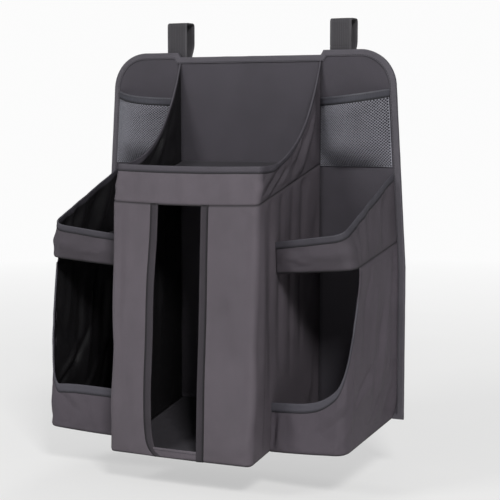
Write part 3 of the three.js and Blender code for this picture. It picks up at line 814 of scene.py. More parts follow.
@dataclass
class Drape:
    """A coarse cloth that Blender drapes, in metres, and its spare width and length."""

    points: Array
    spare: tuple[float, float]

    STIFFNESS = {
        "quality": 6,
        "mass": 0.02,
        "air_damping": 2.0,
        "tension_stiffness": 25.0,
        "compression_stiffness": 25.0,
        "shear_stiffness": 12.0,
        "bending_stiffness": 2.5,
    }

    def run(self, held: Array) -> Array:
        """Drapes the cloth.

        Args:
            held: which of its points are sewn down.

        Returns:
            The points where they come to lie.
        """
        rows, columns = held.shape
        numbers = np.arange(rows * columns).reshape(rows, columns)
        sewn = self.points.reshape(-1, 3)
        middle = sewn.mean(axis=0)
        cut = middle + (sewn - middle) * np.array([1 + self.spare[0], 1 + self.spare[0], 1 + self.spare[1]])
        mesh = bpy.data.meshes.new("drape")
        mesh.from_pydata(cut.tolist(), [], cells(numbers).tolist())
        cloth = bpy.data.objects.new("drape", mesh)
        bpy.context.scene.collection.objects.link(cloth)
        cloth.shape_key_add(name="as cut")
        place = cloth.shape_key_add(name="as sewn")
        place.data.foreach_set("co", sewn.astype(np.float32).ravel())
        for frame, share in ((1, 0.0), (DRAPE_FRAMES // 3, 1.0)):
            place.value = share
            place.keyframe_insert("value", frame=frame)
        pins = cloth.vertex_groups.new(name="sewn")
        pins.add([int(number) for number in numbers[held]], 1.0, "REPLACE")
        self._weigh(cloth)
        scene = bpy.context.scene
        for frame in range(1, DRAPE_FRAMES + 1):
            scene.frame_set(frame)
        settled = cloth.evaluated_get(bpy.context.evaluated_depsgraph_get())
        places = np.zeros(len(sewn) * 3, np.float32)
        settled.data.vertices.foreach_get("co", places)
        bpy.data.objects.remove(cloth)
        bpy.data.meshes.remove(mesh)
        scene.frame_set(1)
        return places.astype(float).reshape(rows, columns, 3)

    def _weigh(self, cloth: bpy.types.Object) -> None:
        """Gives the cloth the weight and stiffness of coated polyester.

        Args:
            cloth: the coarse cloth, with its sewn points in the group "sewn".
        """
        modifier = cloth.modifiers.new("drape", "CLOTH")
        modifier.point_cache.frame_end = DRAPE_FRAMES
        for key, value in self.STIFFNESS.items():
            setattr(modifier.settings, key, value)
        modifier.settings.vertex_group_mass = "sewn"
        modifier.collision_settings.use_collision = False


@dataclass
class Ply:
    """A grid of points in the middle of a cloth, in rows from foot to rim."""

    points: Array
    outward: Point
    along: Array = field(init=False)
    up: Array = field(init=False)
    normals: Array = field(init=False)

    TURN = ((0.3, 0.04), (0.5, 0.2), (0.65, 0.5), (0.8, 1.0))

    def __post_init__(self) -> None:
        """Measures the cloth."""
        steps = np.linalg.norm(np.diff(self.points, axis=1), axis=2)
        self.along = np.concatenate([np.zeros((len(self.points), 1)), np.cumsum(steps, axis=1)], axis=1)
        rises = np.linalg.norm(np.diff(self.points, axis=0), axis=2)
        self.up = np.concatenate([np.zeros((1, self.points.shape[1])), np.cumsum(rises, axis=0)], axis=0)
        self.face()

    def face(self) -> None:
        """Works out which way the cloth faces at each point."""
        across = np.cross(np.gradient(self.points, axis=1), np.gradient(self.points, axis=0))
        sizes = np.linalg.norm(across, axis=2, keepdims=True)
        across = across / np.maximum(sizes, 1e-9)
        if np.sum(across.mean(axis=(0, 1)) * np.array(self.outward)) < 0:
            across = -across
        self.normals = across

    def off(self, border: Border) -> Array:
        """How far each point is from a border.

        Args:
            border: the border.

        Returns:
            The distances, measured along the cloth.
        """
        if border is Border.FOOT:
            return self.up
        if border is Border.RIM:
            return self.up[-1:] - self.up
        if border is Border.START:
            return self.along
        return self.along[:, -1:] - self.along

    def push(self, amount: Array) -> None:
        """Moves the points out square to the cloth."""
        self.points = self.points + self.normals * amount[..., None]
        self.face()

    def held(self, borders: Iterable[Border], reach: float = 9.0) -> Array:
        """A factor that is 0 at sewn borders and 1 away from them.

        Args:
            borders: the sewn borders.
            reach: how far in from them the cloth is held.

        Returns:
            The factor at each point.
        """
        factor = np.ones(self.along.shape)
        for border in borders:
            factor *= 1 - bell(self.off(border), reach)
        return factor

    def shape(self, forms: Iterable[Form], sewn: Iterable[Border], stiff: Border | None = None) -> None:
        """Gives the cloth its folds and ripples.

        Args:
            forms: the folds and ripples.
            sewn: borders that stay where they are.
            stiff: a border with a stiff hem, which moves less.
        """
        total = sum((form.lift(self) for form in forms), np.zeros(self.along.shape))
        if stiff is not None:
            total *= 1 - 0.8 * bell(self.off(stiff), 16)
        self.push(total * self.held(sewn))

    def part(self, rows: slice = slice(None), columns: slice = slice(None)) -> "Ply":
        """A piece of the cloth, as it lies.

        Args:
            rows: its rows.
            columns: its columns.

        Returns:
            The piece.
        """
        piece = Ply(self.points[rows, columns], self.outward)
        piece.normals = self.normals[rows, columns]
        return piece

    def lap(self, border: Border, length: float) -> None:
        """Runs the cloth on past its start or its end, under what it is sewn to.

        Args:
            border: the start or the end.
            length: how far it runs on.
        """
        edge, out = self._way_out(border)
        self._run_on(border, [edge + out * length])

    def _way_out(self, border: Border) -> tuple[Array, Array]:
        """The points at the start or the end, and the way on from there at each."""
        edge, inside = (0, 1) if border is Border.START else (-1, -2)
        return self.points[:, edge], unit(self.points[:, edge] - self.points[:, inside])

    def _run_on(self, border: Border, strips: list[Array]) -> None:
        """Adds columns of points past the start or the end, and measures the cloth anew.

        Args:
            border: the start or the end.
            strips: the columns, from the border outward.
        """
        added = [strip[:, None] for strip in strips]
        parts = [*added[::-1], self.points] if border is Border.START else [self.points, *added]
        self.points = np.concatenate(parts, axis=1)
        self.__post_init__()

    def settle(self, spare: tuple[float, float], cap: float = 3.0, stiff: tuple[Border, float] | None = None) -> None:
        """Lets the cloth find its own lie between its borders, as a hanging cloth does.

        It is cut a little larger than the place that it is sewn to, so that it buckles into
        soft folds under its own weight.

        Args:
            spare: how much too wide and too long it is cut, as shares.
            cap: how far a point may go, in millimetres.
            stiff: a border with a stiff hem, which is held too, and the hem's width.
        """
        down, across = self.up.mean(axis=1), self.along.mean(axis=0)
        down, across = down / down[-1], across / across[-1]
        counts = [max(6, round(size / DRAPE_PITCH)) for size in (self.up.max(), self.along.max())]
        evens = [np.linspace(0, 1, count + 1) for count in counts]
        to_rows, to_columns = linear_weights(down, evens[0]), linear_weights(across, evens[1])
        coarse = np.einsum("ri,sj,ijk->rsk", to_rows, to_columns, self.points)
        drape = Drape(coarse / 1000, spare)
        held = self._held_mask(stiff)
        moved = drape.run(np.einsum("ri,sj,ij->rs", to_rows, to_columns, held) > 0.3) * 1000 - coarse
        for axis in (0, 1):
            padded = np.concatenate([moved.take([0], axis), moved, moved.take([-1], axis)], axis)
            steps = moved.shape[axis]
            before, after = (padded.take(range(k, k + steps), axis) for k in (0, 2))
            moved = (before + 2 * moved + after) / 4
        size = np.linalg.norm(moved, axis=2, keepdims=True)
        moved = moved * np.where(size > 0, cap * np.tanh(size / cap) / np.maximum(size, 1e-9), 1)
        LOG.info("settled by up to %.1f mm", float(size.max()))
        back_rows, back_columns = smooth_weights(down, counts[0]), smooth_weights(across, counts[1])
        shift = np.einsum("ir,js,rsk->ijk", back_rows, back_columns, moved)
        self.points = self.points + shift * (1 - held)[..., None]
        self.face()

    def _held_mask(self, stiff: tuple[Border, float] | None) -> Array:
        """Where the cloth is held: at all its borders, and over its stiff hem.

        Args:
            stiff: a border with a stiff hem, and the hem's width.

        Returns:
            1 where it is held, 0 where it is free, and smooth between.
        """
        mask = np.zeros(self.along.shape)
        for border in Border:
            mask = np.maximum(mask, bell(self.off(border), 2.0))
        if stiff is not None:
            mask = np.maximum(mask, np.clip(1 - (self.off(stiff[0]) - stiff[1]) / 4, 0, 1))
        return mask

    def turn_up(self, border: Border, heights: Array) -> None:
        """Runs the cloth on past its start or its end, and up against what it is sewn to.

        Args:
            border: the start or the end.
            heights: how far up it goes at each row.
        """
        edge, out = self._way_out(border)
        rise = heights[:, None] * np.array([[0, 0, 1]])
        self._run_on(border, [edge + out * ahead + rise * share for ahead, share in self.TURN])

    def keep_in(self, plain: Array, side: Side, columns: slice, most: float = 1.0) -> None:
        """Holds part of a side wall from bulging out past its plain place by more than a little.

        Args:
            plain: the points in their plain place.
            side: the wall's side.
            columns: the part that is held.
            most: how far it may bulge.
        """
        beyond = side.value * (self.points[:, columns, 0] - plain[:, columns, 0])
        over = np.maximum(beyond, 0) - most * np.tanh(np.maximum(beyond, 0) / most)
        self.points[:, columns, 0] -= side.value * over
        self.face()

    def flare(self, side: Side, panel: "BackPanel", reach: float = 30.0) -> None:
        """Turns the end of a wall out to the panel's binding, all but its lowest stretch.

        Args:
            side: the wall's side.
            panel: the panel.
            reach: how far from its end the wall is turned.
        """
        edge = panel.half_width_at(self.points[:, -1:, 2]) - panel.binding - FABRIC / 2 - CLEARANCE
        room = np.clip(edge - np.abs(self.points[:, -1:, 0]), 0, 6)
        turn = np.clip(1 - self.off(Border.END) / reach, 0, 1) ** 2
        low = 1 - bell(self.points[..., 2] - panel.bottom, 16)
        self.points[..., 0] += side.value * room * turn * low
        self.face()

    def roll(self, borders: Iterable[Border], depth: float = 0.9, reach: float = 1.5) -> None:
        """Turns the cloth in along its sewn borders.

        Args:
            borders: the borders.
            depth: how far in it is turned.
            reach: over what distance.
        """
        total = np.zeros(self.along.shape)
        for border in borders:
            total -= depth * bell(self.off(border), reach)
        self.push(total)

    def flat_size(self) -> tuple[float, float, float]:
        """The size of the cut.

        Returns:
            Its width at its foot and its height in metres, and its area in square metres.
        """
        p = self.points
        first = np.cross(p[1:, 1:] - p[:-1, :-1], p[1:, :-1] - p[:-1, 1:])
        area = float(np.linalg.norm(first, axis=2).sum() / 2)
        foot, widest = float(self.along[0, -1]), float(self.along.max())
        width = foot if foot > 0.4 * widest else widest
        return width / 1000, float(self.up.max()) / 1000, area / 1e6

    def track(self, border: Border, inset: float, lift: float) -> "Track":
        """A line on the cloth's outer face, at one distance from a border.

        Args:
            border: the border that it follows.
            inset: its distance from there.
            lift: how far it stands off the middle of the cloth.

        Returns:
            The line.
        """
        off, points, normals = self.off(border), self.points, self.normals
        if border in (Border.START, Border.END):
            off, points, normals = off.T, points.transpose(1, 0, 2), normals.transpose(1, 0, 2)
        if border in (Border.RIM, Border.END):
            off, points, normals = off[::-1], points[::-1], normals[::-1]
        places, ways = [], []
        for column in range(off.shape[1]):
            run = off[:, column]
            row = max(min(int(np.searchsorted(run, inset)), len(run) - 1), 1)
            share = (inset - run[row - 1]) / max(run[row] - run[row - 1], 1e-9)
            for found, source in ((places, points), (ways, normals)):
                found.append(source[row - 1, column] + (source[row, column] - source[row - 1, column]) * share)
        way = unit(np.array(ways))
        return Track(np.array(places) + way * lift, way)


@dataclass
class Track:
    """A line on a cloth's face, with the way that the face looks along it."""

    points: Array
    normals: Array

    def cut(self, start: float = 0.0, end: float = 0.0) -> "Track":
        """The line without a length at its start and its end.

        Args:
            start: the length left out at its start.
            end: the length left out at its end.

        Returns:
            The shorter line.
        """
        run = run_along(self.points)
        keep = (run >= start) & (run <= run[-1] - end)
        return Track(self.points[keep], self.normals[keep])


@dataclass
class Stitching:
    """Lock stitches of one thread along lines."""

    length: float = 2.9
    gap: float = 0.9
    radius: float = 0.34
    points: list[Array] = field(default_factory=list)
    faces: list[Array] = field(default_factory=list)
    count: int = 0

    SIDES = 6

    def sew(self, track: Track) -> None:
        """Lays stitches along a line.

        Args:
            track: the line.
        """
        points, normals = track.points, track.normals
        if len(points) < 2:
            return
        run = run_along(points)
        pitch = self.length + self.gap
        for index in range(int(run[-1] // pitch)):
            places = index * pitch + self.length * np.array([0.0, 0.22, 0.78, 1.0])
            line, way = (
                np.stack([np.interp(places, run, values[:, axis]) for axis in range(3)], axis=1)
                for values in (points, normals)
            )
            self._one(line, unit(way))

    def _one(self, line: Array, way: Array) -> None:
        """One stitch through four points.

        Args:
            line: the points.
            way: which way the cloth faces at each.
        """
        ahead = line[-1] - line[0]
        ahead = ahead / max(np.linalg.norm(ahead), 1e-9)
        lifts = np.array([-0.7, 0.5, 0.5, -0.7]) * self.radius
        sizes = np.array([0.5, 1.0, 1.0, 0.5]) * self.radius
        rings = []
        for point, normal, lift, size in zip(line, way, lifts, sizes):
            across = np.cross(ahead, normal)
            for k in range(self.SIDES):
                angle = 2 * math.pi * k / self.SIDES
                rings.append(point + normal * (lift + size * math.sin(angle)) + across * size * math.cos(angle))
        base = self.count
        faces = []
        for ring in range(3):
            for k in range(self.SIDES):
                a, b = ring * self.SIDES + k, ring * self.SIDES + (k + 1) % self.SIDES
                faces.append([base + a, base + b, base + b + self.SIDES, base + a + self.SIDES])
        for ring in (0, 3):
            a = base + ring * self.SIDES
            quads = [[a, a + 1, a + 2, a + 3], [a, a + 3, a + 4, a + 5]]
            faces += quads if ring else [quad[::-1] for quad in quads]
        self.points.append(np.array(rings))
        self.faces.append(np.array(faces))
        self.count += len(rings)


@dataclass
class Solid:
    """A mesh in the making: points, faces of four corners, a flat map, its painted seam shade and its marks of use."""

    points: Array
    faces: Array
    flat: Array
    crease: Array | None = None
    worn: Array | None = None
    inner: tuple[int, int] = (0, 0)


def shell(
    ply: Ply,
    thickness: float | Array,
    crease: Array | None = None,
    worn: Array | None = None,
    round_steps: int = 4,
) -> Solid:
    """A cloth of some thickness round a grid, closed along rounded borders.

    Args:
        ply: the grid.
        thickness: of the cloth, in millimetres, one for all or one for each point.
        crease: how much painted shade each point gets, as in a seam's groove, 0 to 1.
        worn: how rubbed each point is, 0 to 1.
        round_steps: steps around a border.

    Returns:
        The closed cloth.
    """
    rows, columns = ply.along.shape
    half = np.broadcast_to(np.asarray(thickness, float) / 2, ply.along.shape)
    count = rows * columns
    numbers = np.arange(count).reshape(rows, columns)
    loop = np.concatenate([numbers[0, :], numbers[1:, -1], numbers[-1, -2::-1], numbers[-2:0:-1, 0]])
    points, normals = ply.points.reshape(-1, 3), ply.normals.reshape(-1, 3)
    away = np.zeros((rows, columns, 3))
    away[0] += ply.points[0] - ply.points[1]
    away[-1] += ply.points[-1] - ply.points[-2]
    for edge, inside in ((0, 1), (-1, -2)):
        out = ply.points[:, edge] - ply.points[:, inside]
        size = np.linalg.norm(out, axis=1, keepdims=True)
        near = np.linalg.norm(away[:, edge], axis=1, keepdims=True)
        away[:, edge] = away[:, edge] / np.maximum(near, 1e-9) + out / np.maximum(size, 1e-9)
    away = away.reshape(-1, 3)[loop]
    away /= np.maximum(np.linalg.norm(away, axis=1, keepdims=True), 1e-9)
    thick = half.reshape(-1, 1)
    layers = [points + normals * thick, points - normals * thick]
    for step in range(1, round_steps):
        angle = math.pi * step / round_steps
        layers.append(points[loop] + thick[loop] * (normals[loop] * math.cos(angle) + away * math.sin(angle)))
    quads = cells(numbers)
    faces = [quads, quads[:, ::-1] + count]
    size = len(loop)
    turns = [loop, *(2 * count + size * k + np.arange(size) for k in range(round_steps - 1)), loop + count]
    for upper, lower in zip(turns, turns[1:]):
        faces.append(np.stack([upper, lower, np.roll(lower, -1), np.roll(upper, -1)], axis=-1))
    flat = np.stack([ply.along, ply.up], axis=-1).reshape(-1, 2) / 1000

    def spread(values: Array | None) -> Array | None:
        """Carries values at the grid's points to all the points of the shell.

        Args:
            values: one for each point of the grid, or None.

        Returns:
            One for each point of the shell, or None.
        """
        if values is None:
            return None
        line = np.asarray(values, float).reshape(-1)
        return np.concatenate([line, line, *([line[loop]] * (round_steps - 1))])

    return Solid(
        np.concatenate(layers),
        np.concatenate(faces),
        np.concatenate([flat, flat, *([flat[loop]] * (round_steps - 1))]),
        spread(crease),
        spread(worn),
        (len(quads), 2 * len(quads)),
    )


@dataclass
class Workbench:
    """Where meshes become pieces of the scene."""

    nodes: dict[str, bpy.types.Object]
    made: int = 0

    # Painted shade at seams and at hem stitches: how far it reaches and how dark the stitch line is.
    SEAM_REACH = 1.6
    STITCH_REACH = 0.9
    STITCH_DARK = 0.42
    WORN_REACH = 2.2
    BEAD = 0.35
    DRAW = 0.55
    SUNK = 0.3

    def add(
        self,
        name: str,
        solid: Solid,
        finish: ClothFinish,
        slot: str,
        body: Body = MAIN_BODY,
        inside_shade: ClothFinish | None = None,
    ) -> bpy.types.Object:
        """Makes a piece and puts it on its body, or on none where two bodies are given. One with a node's name stands
        for that node.

        Args:
            name: the piece's name.
            solid: its mesh in millimetres.
            finish: its finish.
            slot: not used.
            body: the body that it rides on, or two bodies and two points in millimetres, for which it is left on no
                body and not bent.
            inside_shade: the finish of its inner face, where that is another: a near-black painted shade.

        Returns:
            The new object.
        """
        place = np.array([0, -ORIGIN_DEPTH, -ORIGIN_HEIGHT])
        points = (solid.points + place) / 1000
        faces = solid.faces
        corners = points[faces]
        volume = np.einsum("ij,ij->i", corners[:, 0], np.cross(corners[:, 1], corners[:, 2])).sum()
        volume += np.einsum("ij,ij->i", corners[:, 0], np.cross(corners[:, 2], corners[:, -1])).sum()
        if volume < 0:
            faces = faces[:, ::-1]
        node = name if name in self.nodes else None
        name = f"{node}_cloth" if node else name
        mesh = bpy.data.meshes.new(name)
        mesh.from_pydata(points.tolist(), [], faces.tolist())
        layer = mesh.uv_layers.new(name=UV_MAP)
        corner_points = np.zeros(len(mesh.loops), np.int32)
        mesh.loops.foreach_get("vertex_index", corner_points)
        layer.data.foreach_set("uv", solid.flat[corner_points].astype(np.float32).ravel())
        for key, values in zip(MARKS, (solid.crease, solid.worn)):
            attribute = mesh.attributes.new(key, "FLOAT", "POINT")
            filled = np.zeros(len(points)) if values is None else values
            attribute.data.foreach_set("value", filled.astype(np.float32))
        mesh.shade_smooth()
        mesh.materials.append(finish.material())
        # The inner faces take the near-black painted shade.
        if inside_shade is not None:
            mesh.materials.append(inside_shade.material())
            sides = np.zeros(len(faces), np.int32)
            sides[slice(*solid.inner)] = 1
            mesh.polygons.foreach_set("material_index", sides)
        piece = bpy.data.objects.new(name, mesh)
        bpy.context.scene.collection.objects.link(piece)
        if isinstance(body, tuple):
            first, second, start, end = body
            self.metres(start)
            self.metres(end)
            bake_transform(piece)
        else:
            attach(piece, body)
        if node:
            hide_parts(node)
        self.made += 1
        LOG.info("%s: %d faces", name, len(faces))
        return piece

    @staticmethod
    def metres(point: Point) -> Point:
        """A point in the row frame."""
        return (point[0] / 1000, (point[1] - ORIGIN_DEPTH) / 1000, (point[2] - ORIGIN_HEIGHT) / 1000)

    def cloth(
        self,
        name: str,
        ply: Ply,
        thickness: float | Array,
        finish: ClothFinish,
        slot: str,
        held: str = "hung",
        rests_on: Sequence[str] = (),
        shade_borders: Iterable[Border] = (),
        worn: Iterable[Border] = (),
        stitched: Border | None = None,
        body: Body = MAIN_BODY,
        inside_shade: ClothFinish | None = None,
    ) -> bpy.types.Object:
        """Args:
            name: the piece's name.
            ply: its grid.
            thickness: of the cloth.
            finish: its finish.
            slot: passed on to add, which does not use it.
            held: how it is held.
            rests_on: not used.
            shade_borders: borders given a painted shade, as in a seam's groove.
            worn: borders that are rubbed.
            stitched: the border along which a hem is sewn down, with a line of painted shade at its stitches.
            body: the body, as in add.
            inside_shade: the finish of its inner face, where that is another: a near-black painted shade.

        Returns:
            The new object.
        """
        dark, rubbed = np.zeros(ply.along.shape), np.zeros(ply.along.shape)
        # Painted shade in the seam grooves and along the hem's stitches; rubbed wear at the worn borders.
        for border in shade_borders:
            dark = np.maximum(dark, bell(ply.off(border), self.SEAM_REACH))
        if stitched is not None:
            dark = np.maximum(dark, self.STITCH_DARK * bell(ply.off(stitched) - STITCH_INSET, self.STITCH_REACH))
        for border in worn:
            rubbed = np.maximum(rubbed, bell(ply.off(border), self.WORN_REACH))
        piece = self.add(name, shell(ply, thickness, dark, rubbed), finish, slot, body, inside_shade)
        width, length, area = ply.flat_size()
        if held == "folded":
            length, area = length + TURNED_UNDER, area + width * TURNED_UNDER
        list(rests_on)
        LOG.info("%s was cut %.0f by %.0f mm", name, width * 1000, length * 1000)
        return piece

    def hem(
        self,
        name: str,
        ply: Ply,
        finish: ClothFinish,
        lie: Ripple,
        stitching: Stitching,
        ends: tuple[float, float] = (2, 2),
        stitched: Border = Border.FOOT,
        fold: Border = Border.RIM,
        seams: Sequence[Border] = (),
    ) -> None:
        """Makes a folded hem, full at its fold and drawn in where it is stitched, and sews it down.

        Args:
            name: the piece's name.
            ply: its grid.
            finish: its finish.
            lie: its uneven lie.
            stitching: the stitches, to which the hem's are added.
            ends: how far from its start and its end they stay.
            stitched: the border along which it is sewn down.
            fold: the border where it is folded.
            seams: other borders given a painted shade, as in a seam's groove.
        """
        ply.push(lie.lift(ply) * ply.held(seams))
        bead = self.BEAD * bell(ply.off(fold), 1.6)
        draw = self.DRAW * bell(ply.off(stitched) - STITCH_INSET, 1.0)
        thick = HEM_FABRIC * 0.92 + bead - draw
        self.cloth(name, ply, thick, finish, "hem_cloth", "folded", (), (stitched, *seams), (fold,), stitched)
        stitching.sew(ply.track(stitched, STITCH_INSET, HEM_FABRIC / 2 - self.SUNK).cut(*ends))

    def stitches(self, name: str, stitching: Stitching, body: str = MAIN_BODY) -> None:
        """Makes one piece of all the stitches of a sub-assembly.

        Args:
            name: the piece's name.
            stitching: the stitches.
            body: the body that they ride on.
        """
        points = np.concatenate(stitching.points)
        flat = points[:, [0, 2]] / 1000
        self.add(name, Solid(points, np.concatenate(stitching.faces), flat), THREAD, "hem_cloth", body)


LOW_LINES = (0.0, 0.6, 1.3, 2.2, 3.6, 5.6)


@dataclass(frozen=True)
class Cut:
    """How a wall is cut from the surface between two seam lines."""

    parts: tuple[tuple[int, int], ...]
    rows: int = 24
    from_foot: float = 0.1
    from_rim: float = 0.1
    low: tuple[float, ...] = LOW_LINES
    high: tuple[float, ...] = LOW_LINES
    start: Callable[[float], float] | None = None

    def rows_between(self, foot: Sequence[Bezier | LipCurve], rim: Sequence[Bezier | LipCurve]) -> Array:
        """The grid's points.

        Args:
            foot: curves of the lower seam.
            rim: curves of the upper seam.

        Returns:
            Rows of points from foot to rim.
        """
        lows, highs = [], []
        for index, (part, steps) in enumerate(self.parts):
            shares = np.linspace(0, 1, steps + 1)[1 if index else 0 :]
            lows.append(foot[part].at(shares))
            highs.append(rim[part].at(shares))
        low, high = np.concatenate(lows), np.concatenate(highs)
        span = np.linalg.norm(high - low, axis=1)
        lower = np.array([self.from_foot + line + 0 * span for line in self.low])
        upper = np.array([span - self.from_rim - line for line in self.high[::-1]])
        levels = np.linspace(0, 1, self.rows + 1)[1:-1, None]
        inner = lower[-1] + (upper[0] - lower[-1]) * levels
        reach = np.concatenate([lower, inner, upper]) / span
        grid = low[None] + (high - low)[None] * reach[..., None]
        if self.start is not None:
            for row, line in enumerate(grid):
                run = run_along(line)
                back = self.start(float(reach[row].mean()))
                places = back + (run[-1] - back) * run / run[-1]
                grid[row] = np.stack([np.interp(places, run, line[:, axis]) for axis in range(3)], axis=1)
        return grid


def plan_rows(outline: Array, rows: int, columns: int) -> Array:
    """Points in rows across a plan outline, from its front to its rear.

    Args:
        outline: the plan's corners, x and y.
        rows: steps from front to rear.
        columns: steps across.

    Returns:
        Rows of x and y.
    """
    front, rear = outline[:, 1].min(), outline[:, 1].max()
    shares = np.linspace(0, 1, rows + 1)
    shares = shares + 0.5 * (0.5 * (1 - np.cos(math.pi * shares)) - shares)
    grid = []
    closed = np.concatenate([outline, outline[:1]])
    for share in shares:
        y = front + (rear - front) * min(max(share, 0.0015), 0.9995)
        crossings = []
        for a, b in zip(closed, closed[1:]):
            if (a[1] - y) * (b[1] - y) <= 0 and a[1] != b[1]:
                crossings.append(a[0] + (b[0] - a[0]) * (y - a[1]) / (b[1] - a[1]))
        xs = np.linspace(min(crossings), max(crossings), columns + 1)
        grid.append(np.stack([xs, np.full(columns + 1, y)], axis=1))
    return np.array(grid)


def drawn_in(outline: Array, distance: float) -> Array:
    """An outline drawn in by a distance all round, or let out by a negative one.

    Args:
        outline: its corners, x and y.
        distance: how far.

    Returns:
        The corners of the new outline, counterclockwise.
    """
    turn = np.roll(outline, -1, axis=0) - outline
    if np.sum(outline[:, 0] * np.roll(outline[:, 1], -1) - np.roll(outline[:, 0], -1) * outline[:, 1]) < 0:
        return drawn_in(outline[::-1], distance)
    after = unit(turn)
    before = np.roll(after, 1, axis=0)
    across = unit(np.stack([-before[:, 1] - after[:, 1], before[:, 0] + after[:, 0]], axis=1))
    square = np.stack([-before[:, 1], before[:, 0]], axis=1)
    reach = distance / np.maximum(0.3, np.sum(across * square, axis=1))
    return outline + across * reach[:, None]


def plane_height(a: Sequence[float], b: Sequence[float], c: Sequence[float]) -> Callable[[Array, Array], Array]:
    """The plane through three points.

    Args:
        a: the first point.
        b: the second one.
        c: the third one.

    Returns:
        Its height as a function of x and y.
    """
    normal = np.cross(np.array(b) - np.array(a), np.array(c) - np.array(a))
    constant = float(normal @ np.array(a))
    return lambda x, y: (constant - normal[0] * x - normal[1] * y) / normal[2]


@dataclass
class Floor:
    """A cloth floor sewn in at a seam, and the loose board that lies on it."""

    name: str
    outline: Array
    height: Callable[[Array, Array], Array]
    seed: int
    sewn_up: Border | None = None

    EASE = 2.6
    TURN_UP = 5.0
    BOARD = 2.4
    PLAY = 5.0
    FLOOR_STEPS = (30, 44)
    BOARD_STEPS = (34, 48)

    def _lying(self, grid: Array, lift: float = 0.0) -> Ply:
        """A cloth over a plan grid, lifted off the floor's plane."""
        z = self.height(grid[..., 0], grid[..., 1]) + lift
        return Ply(np.concatenate([grid, z[..., None]], axis=2), (0, 0, 1))

    def build(self, bench: Workbench) -> None:
        """Makes the floor and the board.

        Args:
            bench: where they are made.
        """
        grid = plan_rows(drawn_in(self.outline, 0.9), *self.FLOOR_STEPS)
        grid[..., 1] = np.minimum(grid[..., 1], self.outline[:, 1].max() - 0.2)
        ply = self._lying(grid)
        every = list(Border)
        ply.push(-np.abs(Ripple(self.seed, 70, 0.35).lift(ply)) * ply.held(every, 14))
        if self.sewn_up is not None:
            behind = grid[:, 0, 1] - self.outline[0, 1]
            ply.turn_up(self.sewn_up, self.TURN_UP * np.clip((behind - 3) / 5, 0, 1))
        # The floor takes the near-black painted shade of the insides.
        bench.cloth(f"{self.name}_floor", ply, FABRIC, INSIDE_SHADE, "side_cloth", "stretched", (), every)
        self._board(bench)

    def _board(self, bench: Workbench) -> None:
        """Makes the board in its cloth cover, crowned a little and rounded at its edges.

        Args:
            bench: where it is made.
        """
        rear = self.outline[:, 1].max()
        moved = self.outline.copy()
        moved[self.outline[:, 1] == rear, 1] = rear + self.EASE
        grid = plan_rows(drawn_in(moved, self.EASE + self.PLAY + 0.8), *self.BOARD_STEPS)
        ply = self._lying(grid, FABRIC / 2 + CLEARANCE + self.BOARD / 2)
        edge = np.minimum.reduce([ply.off(border) for border in Border])
        puff = self.BOARD * (0.72 + 0.28 * np.clip(edge / 3, 0, 1))
        solid = shell(ply, puff, None, bell(edge, 3))
        bench.add(f"{self.name}_base_board", solid, BOARD_CLOTH, "covered_board", f"{self.name}_board")


def seam_plan(curves: Sequence[Bezier], steps: Sequence[int]) -> Array:
    """The plan outline along a seam's curves."""
    points = [curve.at(np.linspace(0, 1, count + 1))[:-1, :2] for curve, count in zip(curves, steps)]
    return np.concatenate([*points, curves[-1].at(np.array([1.0]))[:, :2]])


def column_floor(name: str, seam: ColumnSeam, seed: int) -> Floor:
    """The floor and the board inside the column.

    Args:
        name: the start of their names.
        seam: the seam that they lie in.
        seed: of the floor's uneven lie.

    Returns:
        The floor.
    """
    corner = (seam.half_width, -seam.depth, seam.height)
    height = plane_height(corner, (-corner[0], *corner[1:]), (0, 0, seam.rear_height))
    return Floor(name, seam_plan(seam.curves(), (1, 6, 8, 6, 1)), height, seed)


